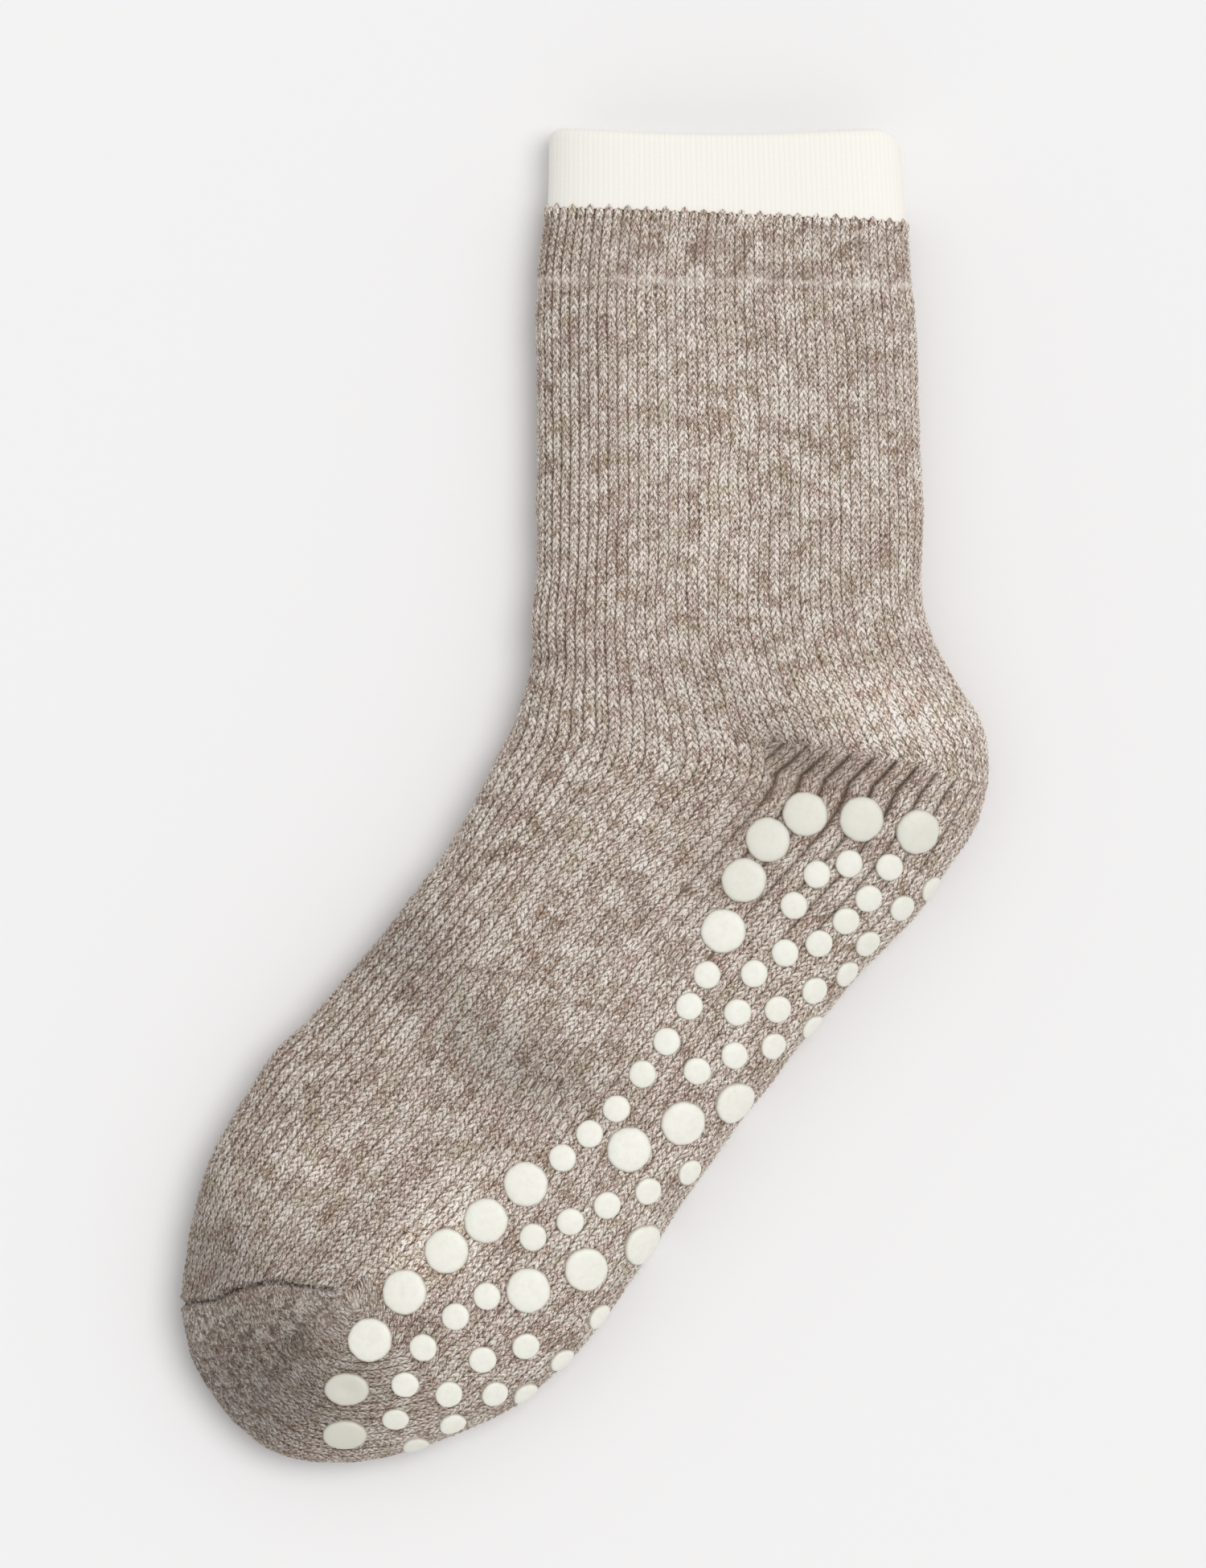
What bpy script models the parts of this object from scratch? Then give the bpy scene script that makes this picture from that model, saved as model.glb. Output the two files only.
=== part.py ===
"""A slipper sock that lies slack on its side: a knitted tube, a turned double cuff and printed grip dots.

+X points across the leg to the back of the heel, +Y up the leg and +Z away from the floor.
The sole faces +X and -Y. Both sides are alike, so the sock goes on either foot.
"""

import math
from bisect import bisect_right
from collections import namedtuple

import bmesh
import bpy
from mathutils import Vector
from mathutils.bvhtree import BVHTree

# Driving dimensions of the sock, in metres and radians
LEG_LENGTH = 0.133  # middle of the ankle to the top of the cuff
LEG_WIDTH = 0.086  # across the leg as it lies flat
FOOT_LENGTH = 0.220  # back of the heel to the tip of the toe
HEEL_DIAGONAL = 0.108  # bend of the ankle to the point of the heel
INSTEP_DEPTH = 0.091  # top of the instep to the sole
BALL_DEPTH = 0.095  # upper edge to sole edge across the ball
LAY_HEIGHT = 0.024  # thickness of the slack foot as it lies
FOOT_TURN = math.radians(39)  # from straight down the leg to the line of the foot
HEEL_SET = 0.028  # back of the heel to the middle of the ankle, along the foot
FOOT_DROP = 0.013  # middle of the ankle to the middle line of the foot, across the foot
WALL = 0.0020  # thickness of the knit
CUFF_HEIGHT = 0.020  # outer leaf of the turned cuff
CUFF_HEM = 0.0125  # how far the inner leaf reaches below the outer one
CUFF_LEAF = 0.0015  # thickness of the inner leaf
CUFF_DIP = 0.0017  # how far the rim sinks between its two folded edges
DOT_RADIUS = 0.0050  # one printed grip dot
DOT_RISE = 0.0012  # height of a dot over the knit
FIT_GAP = 0.0003  # clearance between two pieces that meet

# Shape of a section, as shares of its own height and half width
WIDEST_LEVEL = 0.46  # height of the two side folds
UNDER_ROUND = 0.50  # width of the lower corners
UNDER_ROUND_MOST = 0.45  # the same, as a share of the half width
ROUNDEST_FOLD = 2.0  # power of a section's curve where it is a plain ellipse
LIFT_START = -0.50  # place across the underside where the dots begin to hold it up
LIFT_END = -0.04
TOP_STEPS = 8  # faces from a side fold to the middle of the top
INSTEP_CORNER_STEPS = 3  # faces round the lower corners
SOLE_CORNER_STEPS = 5
UNDER_STATIONS = (LIFT_START, 0.5 * (LIFT_START + LIFT_END), LIFT_END, 0.45)
CUFF_FOLD_STEPS = 4  # faces round the fold at the rim
SOLE_LIFT = DOT_RISE + FIT_GAP
SHARP_EDGE = math.radians(50)

LEG = "leg"
FOOT = "foot"

# A row is one section of the tube, from the collar to the tip of the toe. Along is a share of LEG_LENGTH
# above the ankle, or of FOOT_LENGTH from the back of the heel. Aside is a share of LEG_WIDTH towards the
# heel, or of BALL_DEPTH towards the sole. Turn is in degrees. Width is a share of the size named by of. Base
# and lay are shares of LAY_HEIGHT: how far the section hangs over the floor, and how thick it lies. The two
# rounds say how full the folds are, as shares of the thickness, and lift how much the dots hold it up.
Section = namedtuple("Section", "frame along aside turn width of base lay instep_round sole_round lift")
CUFF_FOOT = 1 - CUFF_HEIGHT / LEG_LENGTH
SECTIONS = (
    Section(LEG, 1.000, -0.010, 0.0, 0.915, LEG_WIDTH, 0.00, 0.77, 0.30, 0.30, 0),
    Section(LEG, CUFF_FOOT, -0.005, 2.4, 0.937, LEG_WIDTH, 0.00, 0.78, 0.28, 0.28, 0),
    Section(LEG, 0.760, -0.010, 1.2, 0.967, LEG_WIDTH, 0.00, 0.78, 0.28, 0.28, 0),
    Section(LEG, 0.640, -0.006, 0.0, 0.988, LEG_WIDTH, 0.00, 0.79, 0.28, 0.28, 0),
    Section(LEG, 0.460, 0.000, 0.0, 1.000, LEG_WIDTH, 0.00, 0.81, 0.28, 0.28, 0),
    Section(LEG, 0.290, 0.000, 0.0, 1.002, LEG_WIDTH, 0.00, 0.84, 0.28, 0.28, 0),
    Section(LEG, 0.180, 0.002, 0.4, 1.024, LEG_WIDTH, 0.00, 0.87, 0.28, 0.28, 0),
    Section(LEG, 0.078, 0.034, 1.6, 0.882, HEEL_DIAGONAL, 0.00, 0.90, 0.28, 0.28, 0.2),
    Section(LEG, 0.014, 0.056, 3.0, 0.955, HEEL_DIAGONAL, 0.00, 0.92, 0.28, 0.29, 0.5),
    Section(LEG, -0.043, 0.058, 5.5, 0.990, HEEL_DIAGONAL, 0.00, 0.94, 0.28, 0.30, 0.8),
    Section(LEG, -0.097, 0.037, 8.9, 1.000, HEEL_DIAGONAL, 0.00, 0.95, 0.28, 0.31, 1),
    Section(FOOT, 0.201, -0.014, 11.6, 0.980, HEEL_DIAGONAL, 0.00, 0.96, 0.28, 0.32, 1),
    Section(FOOT, 0.248, 0.000, 15.8, 0.938, HEEL_DIAGONAL, 0.00, 0.97, 0.28, 0.33, 1),
    Section(FOOT, 0.308, 0.001, 20.5, 1.050, INSTEP_DEPTH, 0.00, 0.98, 0.28, 0.34, 1),
    Section(FOOT, 0.378, 0.003, 25.1, 1.000, INSTEP_DEPTH, 0.00, 0.99, 0.28, 0.34, 1),
    Section(FOOT, 0.455, 0.010, 29.4, 0.990, INSTEP_DEPTH, 0.00, 1.00, 0.28, 0.34, 1),
    Section(FOOT, 0.538, 0.013, 33.0, 0.950, BALL_DEPTH, 0.00, 1.00, 0.28, 0.34, 1),
    Section(FOOT, 0.619, 0.023, 36.3, 0.979, BALL_DEPTH, 0.00, 1.00, 0.28, 0.34, 1),
    Section(FOOT, 0.699, 0.022, 41.5, 1.000, BALL_DEPTH, 0.00, 0.99, 0.28, 0.35, 1),
    Section(FOOT, 0.777, 0.017, 44.6, 0.958, BALL_DEPTH, 0.00, 0.96, 0.28, 0.36, 1),
    Section(FOOT, 0.838, 0.004, 44.4, 0.864, BALL_DEPTH, 0.00, 0.92, 0.29, 0.36, 1),
    Section(FOOT, 0.890, 0.008, 41.8, 0.737, BALL_DEPTH, 0.01, 0.86, 0.31, 0.36, 1),
    Section(FOOT, 0.936, 0.010, 40.7, 0.587, BALL_DEPTH, 0.03, 0.77, 0.33, 0.36, 0.8),
    Section(FOOT, 0.968, 0.001, 42.5, 0.426, BALL_DEPTH, 0.08, 0.62, 0.36, 0.38, 0.4),
    Section(FOOT, 0.990, -0.008, 44.5, 0.246, BALL_DEPTH, 0.17, 0.39, 0.40, 0.40, 0),
    Section(FOOT, 1.000, -0.011, 45.0, 0.000, BALL_DEPTH, 0.34, 0.00, 0.40, 0.40, 0),
)
FIRST_BENT_ROW = 6  # from this section on, one more ring goes between two rows

# The print chart of the large dots on one side of the sole. The two rows have room to spare, and their along
# and aside are read as in the table above. The dots of a border stand close, so they are counted in dot radii
# from the one dot at the edge of the sole, which is placed by such shares.
Dot = namedtuple("Dot", "along aside")
Border = namedtuple("Border", "edge_dot radii")
BALL_ROW = (Dot(0.424, 0.439), Dot(0.473, 0.372), Dot(0.528, 0.312))
TOE_ROW = (Dot(0.595, 0.480), Dot(0.650, 0.411), Dot(0.703, 0.336))
HEEL_BORDER = Border(
    Dot(0.094, 0.370),
    (
        Dot(0.0, 0.0),
        Dot(1.144, -2.318),
        Dot(2.552, -4.408),
        Dot(4.488, -4.978),
        Dot(6.556, -4.674),
        Dot(8.888, -3.971),
    ),
)
TOE_BORDER = Border(
    Dot(0.935, 0.216),
    (
        Dot(-13.816, -0.779),
        Dot(-11.440, -1.140),
        Dot(-9.284, -1.653),
        Dot(-6.688, -1.957),
        Dot(-4.048, -1.805),
        Dot(-1.672, -1.216),
        Dot(0.0, 0.0),
    ),
)

# Rings of a dot, from the middle of its base to the middle of its crown: share of radius and of rise
DOT_SEGMENTS = 12
DOT_BASE = ((0.0, 0.0), (0.5, 0.0), (0.97, 0.0))
DOT_CROWN = ((1.0, 0.45), (0.78, 0.95), (0.0, 1.0))

LEG_UP = Vector((0, 1))
LEG_ACROSS = Vector((1, 0))
FOOT_WAY = Vector((-math.sin(FOOT_TURN), -math.cos(FOOT_TURN)))
FOOT_ACROSS = Vector((math.cos(FOOT_TURN), -math.sin(FOOT_TURN)))
FOOT_START = FOOT_ACROSS * FOOT_DROP - FOOT_WAY * HEEL_SET


def place(frame, along, aside):
    """A point of the lying plane, from its shares of the leg or of the foot."""
    if frame == LEG:
        return LEG_UP * (along * LEG_LENGTH) + LEG_ACROSS * (aside * LEG_WIDTH)
    return FOOT_START + FOOT_WAY * (along * FOOT_LENGTH) + FOOT_ACROSS * (aside * BALL_DEPTH)


def reading(row):
    """The numbers of a row that the loft runs through: both edges, base, thickness, two rounds and lift."""
    middle = place(row.frame, row.along, row.aside)
    turn = math.radians(row.turn)
    half = Vector((math.cos(turn), -math.sin(turn))) * (0.5 * row.width * row.of)
    instep, sole = middle - half, middle + half
    base, lay = row.base * LAY_HEIGHT, row.lay * LAY_HEIGHT
    return (*instep, *sole, base, lay, row.instep_round, row.sole_round, row.lift)


def step_between(a, b):
    """Mean distance between two readings, along both edges."""
    instep = math.hypot(b[0] - a[0], b[1] - a[1])
    sole = math.hypot(b[2] - a[2], b[3] - a[3])
    return 0.5 * (instep + sole)


class Loft:
    """A smooth tube through the sections, by distance from the collar."""

    def __init__(self, rows):
        self.readings = [reading(row) for row in rows]
        self.stops = [0.0]
        for a, b in zip(self.readings, self.readings[1:]):
            self.stops.append(self.stops[-1] + step_between(a, b))
        self.slopes = [self.slope(i) for i in range(len(rows))]

    def slope(self, i):
        """Rates of change at a row, from its two neighbours."""
        before, after = max(i - 1, 0), min(i + 1, len(self.stops) - 1)
        span = self.stops[after] - self.stops[before]
        low, high = self.readings[before], self.readings[after]
        return [(b - a) / span for a, b in zip(low, high)]

    def at(self, distance):
        """The reading at a distance from the collar."""
        i = min(max(bisect_right(self.stops, distance) - 1, 0), len(self.stops) - 2)
        span = self.stops[i + 1] - self.stops[i]
        t = (distance - self.stops[i]) / span
        start, end = 2 * t**3 - 3 * t**2 + 1, 3 * t**2 - 2 * t**3
        leave, arrive = (t**3 - 2 * t**2 + t) * span, (t**3 - t**2) * span
        rows = zip(self.readings[i], self.readings[i + 1], self.slopes[i], self.slopes[i + 1])
        return [start * a + end * b + leave * ma + arrive * mb for a, b, ma, mb in rows]

    def ring(self, distance, inset=0.0):
        """Points round the tube at a distance from the collar, moved inwards by inset."""
        ax, ay, bx, by, base, lay, instep_round, sole_round, lift = self.at(distance)
        instep, sole = Vector((ax, ay)), Vector((bx, by))
        middle, half = 0.5 * (instep + sole), 0.5 * (sole - instep)
        way = half.normalized() if half.length else LEG_ACROSS
        flat = outline(half.length, max(lay, 0.0), instep_round, sole_round, lift)
        if inset:
            flat = moved_in(flat, inset)
        return [Vector((*(middle + way * across), max(base, 0.0) + up)) for across, up in flat]


def outline(half, lay, instep_round, sole_round, lift):
    """A section as (across, up) pairs, from the sole fold over the top to the instep fold and back under."""
    side = WIDEST_LEVEL * lay
    rise = lay - side
    points = []
    for k in range(2 * TOP_STEPS + 1):
        angle = 0.5 * math.pi * k / TOP_STEPS
        fullness = sole_round if k < TOP_STEPS else instep_round
        power = max(ROUNDEST_FOLD, 2 * half * fullness * lay / rise**2) if rise else ROUNDEST_FOLD
        across = math.copysign(abs(math.cos(angle)) ** (2 / power), math.cos(angle))
        points.append((half * across, side + rise * math.sin(angle)))
    corner = min(UNDER_ROUND * lay, UNDER_ROUND_MOST * half)
    flat = half - corner
    turns = [0.5 * math.pi * k / INSTEP_CORNER_STEPS for k in range(1, INSTEP_CORNER_STEPS + 1)]
    points += [(-flat - corner * math.cos(a), side * (1 - math.sin(a))) for a in turns]
    held = min(lift * SOLE_LIFT, side)
    for station in UNDER_STATIONS:
        t = min(max((station - LIFT_START) / (LIFT_END - LIFT_START), 0.0), 1.0)
        points.append((flat * station, held * t * t * (3 - 2 * t)))
    turns = [0.5 * math.pi * k / SOLE_CORNER_STEPS for k in range(SOLE_CORNER_STEPS)]
    points += [(flat + corner * math.sin(a), side - (side - held) * math.cos(a)) for a in turns]
    return points


def moved_in(points, inset):
    """A closed outline, moved inwards square to itself."""
    moved = []
    for k, (x, z) in enumerate(points):
        before, after = Vector(points[k - 1]), Vector(points[(k + 1) % len(points)])
        here = Vector((x, z))
        edge = (here - before).normalized() + (after - here).normalized()
        inwards = Vector((-edge.y, edge.x)).normalized()
        lean = inwards.dot(Vector((-(after - here).y, (after - here).x)).normalized())
        moved.append(tuple(here + inwards * (inset / lean)))
    return moved


def new_collection(name):
    """A collection of the scene, for the pieces that go in it."""
    collection = bpy.data.collections.new(name)
    bpy.context.scene.collection.children.link(collection)
    return collection


def new_material(name, colour, roughness):
    """A plain non-metallic finish."""
    material = bpy.data.materials.new(name)
    material.use_nodes = True
    shader = material.node_tree.nodes["Principled BSDF"]
    shader.inputs["Base Color"].default_value = (*colour, 1)
    shader.inputs["Roughness"].default_value = roughness
    shader.inputs["Metallic"].default_value = 0
    return material


def new_piece(name, form, material, collection):
    """An object from a bmesh, shaded smooth apart from its sharp edges."""
    mesh = bpy.data.meshes.new(name)
    form.to_mesh(mesh)
    form.free()
    mesh.materials.append(material)
    mesh.shade_smooth()
    mesh.set_sharp_from_angle(angle=SHARP_EDGE)
    piece = bpy.data.objects.new(name, mesh)
    collection.objects.link(piece)
    return piece


def skin(form, rings, closed=False):
    """Quads between neighbouring rings, facing out where rings run over the top and away from the collar."""
    pairs = list(zip(rings, rings[1:]))
    if closed:
        pairs.append((rings[-1], rings[0]))
    for near, far in pairs:
        for k in range(len(near)):
            n = (k + 1) % len(near)
            form.faces.new((near[k], near[n], far[n], far[k]))


def cap(form, ring, tip):
    """Triangles from a last ring to one closing point."""
    for k in range(len(ring)):
        form.faces.new((ring[k], ring[(k + 1) % len(ring)], tip))


def tube_stops(loft, start):
    """Distances of the rings of the knitted tube: every row, and one between two where the tube bends."""
    stops = [start]
    for i in range(len(loft.stops) - 1):
        if i >= FIRST_BENT_ROW:
            stops.append(0.5 * (loft.stops[i] + loft.stops[i + 1]))
        stops.append(loft.stops[i + 1])
    return sorted({stop for stop in stops if start <= stop < loft.stops[-1]})


def knitted_sock(loft, material, collection):
    """Leg, heel, foot and toe, knitted in one: a hollow tube that is open where the cuff joins it."""
    form = bmesh.new()
    start = loft.stops[1]
    rings = [[form.verts.new(p) for p in loft.ring(stop)] for stop in tube_stops(loft, start)]
    skin(form, rings)
    cap(form, rings[-1], form.verts.new(loft.ring(loft.stops[-1])[0]))
    piece = new_piece("knitted_sock", form, material, collection)
    wall = piece.modifiers.new("Wall", "SOLIDIFY")
    wall.thickness = WALL
    wall.offset = -1
    wall.use_even_offset = True
    return piece


def turned_cuff(loft, material, collection):
    """The ribbed cuff: an outer leaf down to the leg's edge, a fold at the rim and a leaf inside the leg."""
    foot = loft.stops[1] - FIT_GAP
    hem = loft.stops[1] + CUFF_HEM
    depth = WALL + FIT_GAP + CUFF_LEAF
    fold = 0.5 * depth
    profile = [(foot, 0.0), (0.5 * foot, 0.0), (fold, 0.0)]
    for k in range(1, CUFF_FOLD_STEPS):
        angle = math.pi * k / CUFF_FOLD_STEPS
        profile.append((fold - fold * math.sin(angle), fold - fold * math.cos(angle)))
    profile += [(fold, depth), (0.5 * foot, depth), (hem, depth)]
    profile += [(hem, WALL + FIT_GAP), (foot, WALL + FIT_GAP)]
    form = bmesh.new()
    rings = []
    for distance, inset in reversed(profile):
        points = loft.ring(distance, inset)
        half = max(abs(p.x - points[0].x) for p in points) / 2
        middle = points[0].x - half
        level = 1 - min(distance / foot, 1.0)
        for p in points:
            p.y -= CUFF_DIP * level * (1 - min(((p.x - middle) / half) ** 2, 1.0))
        rings.append([form.verts.new(p) for p in points])
    skin(form, rings, closed=True)
    return new_piece("turned_cuff", form, material, collection)


def surface_of(piece):
    """The outer faces of a finished piece, to print on."""
    graph = bpy.context.evaluated_depsgraph_get()
    return BVHTree.FromObject(piece, graph)


def printed_point(surface, centre, normal, out, height):
    """A point over the knit: out from the dot's centre, at a height over the face below it."""
    seat, slant, _, _ = surface.ray_cast(centre + normal * DOT_RADIUS + out, -normal)
    point = seat + (slant + normal).normalized() * (FIT_GAP + height)
    point.z = max(point.z, 0.0)
    return point


def ease(surface, normal, pairs):
    """Move the ends of each base edge off the knit until its middle keeps the clearance too."""
    for a, b in pairs:
        middle = 0.5 * (a.co + b.co)
        seat, slant, _, _ = surface.ray_cast(middle + normal * DOT_RADIUS, -normal)
        short = FIT_GAP - slant.dot(middle - seat)
        if short > 0:
            a.co += normal * short
            b.co += normal * short


def grip_dot(name, surface, above, towards, material, collection):
    """A printed dot that follows the knit below it, centred where a line from above meets the knit."""
    centre, normal, _, _ = surface.ray_cast(above, towards)
    side = normal.orthogonal().normalized()
    other = normal.cross(side)
    form = bmesh.new()
    rings = []
    for share, height in DOT_BASE + DOT_CROWN:
        turns = [2 * math.pi * k / DOT_SEGMENTS for k in range(DOT_SEGMENTS if share else 1)]
        outs = [(side * math.cos(a) + other * math.sin(a)) * (share * DOT_RADIUS) for a in turns]
        points = [printed_point(surface, centre, normal, out, height * DOT_RISE) for out in outs]
        rings.append([form.verts.new(point) for point in points])
    middle, inner, rim = rings[:3]
    spokes = [(middle[0], v) for v in inner] + list(zip(inner, rim))
    hoops = [(ring[k - 1], ring[k]) for ring in (inner, rim) for k in range(DOT_SEGMENTS)]
    ease(surface, normal, spokes + hoops)
    skin(form, rings[1:-1])
    cap(form, rings[-2], rings[-1][0])
    cap(form, inner[::-1], middle[0])
    return new_piece(name, form, material, collection)


def row_places(row):
    """Where the dots of a row stand in the lying plane."""
    return [place(FOOT, *dot) for dot in row]


def border_places(border):
    """Where the dots of a border stand in the lying plane."""
    start = place(FOOT, *border.edge_dot)
    steps = [FOOT_WAY * along + FOOT_ACROSS * aside for along, aside in border.radii]
    return [start + step * DOT_RADIUS for step in steps]


def print_dots(surface, material, collection):
    """The large grip dots, the same on both sides of the sole."""
    clear = 2 * LAY_HEIGHT
    chart = {
        "heel": border_places(HEEL_BORDER),
        "ball": row_places(BALL_ROW),
        "border": border_places(TOE_BORDER),
        "toe": row_places(TOE_ROW),
    }
    for group, places in chart.items():
        for number, (x, y) in enumerate(places, 1):
            over, under = Vector((x, y, clear)), Vector((x, y, -clear))
            down, up = Vector((0, 0, -1)), Vector((0, 0, 1))
            grip_dot(f"grip_dot_{group}_upper_{number}", surface, over, down, material, collection)
            grip_dot(f"grip_dot_{group}_under_{number}", surface, under, up, material, collection)


def centre_on_origin(pieces):
    """Bring the middle of the whole sock's box over the origin. It already stands on the floor."""
    graph = bpy.context.evaluated_depsgraph_get()
    corners = []
    for piece in pieces:
        corners += [v.co for v in piece.evaluated_get(graph).data.vertices]
    for axis in range(2):
        low, high = min(c[axis] for c in corners), max(c[axis] for c in corners)
        for piece in pieces:
            piece.location[axis] -= 0.5 * (low + high)


def main():
    """Build the slipper sock."""
    for old in list(bpy.data.objects):
        bpy.data.objects.remove(old, do_unlink=True)
    parts = new_collection("slipper_sock")
    heather = new_material("heather_knit", (0.37, 0.30, 0.25), 0.95)
    cream = new_material("cream_rib", (0.90, 0.87, 0.80), 0.95)
    grip = new_material("grip_print", (0.84, 0.83, 0.76), 0.45)
    loft = Loft(SECTIONS)
    sock = knitted_sock(loft, heather, parts)
    turned_cuff(loft, cream, parts)
    print_dots(surface_of(sock), grip, parts)
    centre_on_origin(list(parts.objects))


main()
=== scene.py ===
"""Photographic look of a knitted slipper sock that lies slack on its side.

The knit repeats the sock's own loft in finer steps, so every size here is one of the sock's own sizes.
Lengths are in metres, and the plane of the loft has its origin in the middle of the ankle.
"""

import logging
import math
from dataclasses import dataclass, field
from enum import Enum
from typing import NamedTuple, Sequence

import bpy
import numpy as np
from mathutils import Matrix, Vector
from mathutils.bvhtree import BVHTree


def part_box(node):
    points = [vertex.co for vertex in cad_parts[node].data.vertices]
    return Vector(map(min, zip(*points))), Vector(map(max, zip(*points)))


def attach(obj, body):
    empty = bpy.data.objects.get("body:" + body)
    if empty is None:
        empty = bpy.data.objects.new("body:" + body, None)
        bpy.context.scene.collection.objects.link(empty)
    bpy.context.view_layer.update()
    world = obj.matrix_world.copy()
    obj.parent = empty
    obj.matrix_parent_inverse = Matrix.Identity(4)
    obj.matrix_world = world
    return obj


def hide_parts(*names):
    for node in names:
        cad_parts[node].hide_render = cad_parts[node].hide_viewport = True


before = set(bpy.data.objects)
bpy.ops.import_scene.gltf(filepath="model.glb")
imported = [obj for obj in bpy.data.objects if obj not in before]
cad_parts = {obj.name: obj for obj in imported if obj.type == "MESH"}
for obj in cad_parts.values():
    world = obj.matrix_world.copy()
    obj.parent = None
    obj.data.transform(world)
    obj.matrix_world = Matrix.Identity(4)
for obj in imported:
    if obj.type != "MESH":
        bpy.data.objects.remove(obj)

log = logging.getLogger("slipper_sock")

Array = np.ndarray
Material = bpy.types.Material
Object = bpy.types.Object

LEG_LENGTH = 0.133
LEG_WIDTH = 0.086
FOOT_LENGTH = 0.220
HEEL_DIAGONAL = 0.108
INSTEP_DEPTH = 0.091
BALL_DEPTH = 0.095
LAY_HEIGHT = 0.024
FOOT_TURN = math.radians(39)
HEEL_SET = 0.028
FOOT_DROP = 0.013
WALL = 0.0020
CUFF_HEIGHT = 0.020
CUFF_HEM = 0.0125
CUFF_LEAF = 0.0015
CUFF_DIP = 0.0017
DOT_RADIUS = 0.0050
SMALL_DOT_RADIUS = 0.0031
DOT_RISE = 0.0012
FIT_GAP = 0.0003
WIDEST_LEVEL = 0.46
UNDER_ROUND = 0.50
UNDER_ROUND_MOST = 0.45
LIFT_START = -0.50
LIFT_END = -0.04
SOLE_LIFT = DOT_RISE + FIT_GAP

FLOOR_GAP = 0.00005  # how far the lowest yarn stays over the floor

WALE = 0.0023  # width of one column of stitches
COURSE = 0.00170  # height of one row of stitches
HALF_WALES = 42  # columns of stitches across one side
LEAN = 1.08  # how far the legs of a stitch slant, in courses
STAGGER = 0.28  # how far neighbouring columns are out of step, in courses
STAGGER_TURN = 2.4  # sets in which order the columns are out of step
ARCH_START = 0.218  # a leg's roundness at the middle of its column, in half turns
ARCH_SPAN = 0.664  # how much of a half turn it takes from there to the column's edge
LEG_FLOOR = 0.38  # relief between two stitches of a column, as a share of that of their legs
LEG_ROUND = 0.8  # how blunt the legs are

FOOT_WAY = np.array([-math.sin(FOOT_TURN), -math.cos(FOOT_TURN)])
FOOT_ACROSS = np.array([math.cos(FOOT_TURN), -math.sin(FOOT_TURN)])
FOOT_START = FOOT_ACROSS * FOOT_DROP - FOOT_WAY * HEEL_SET


class Part(Enum):
    """Which of the two frames a section or a point is measured in."""

    LEG = "leg"
    FOOT = "foot"


class Span(NamedTuple):
    """Where a soft step starts and ends."""

    low: float
    high: float


class Section(NamedTuple):
    """One section of the tube, in the same shares as the sock's own table."""

    part: Part
    along: float
    aside: float
    turn: float
    width: float
    of: float
    base: float
    lay: float
    instep_round: float
    sole_round: float
    lift: float


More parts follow.
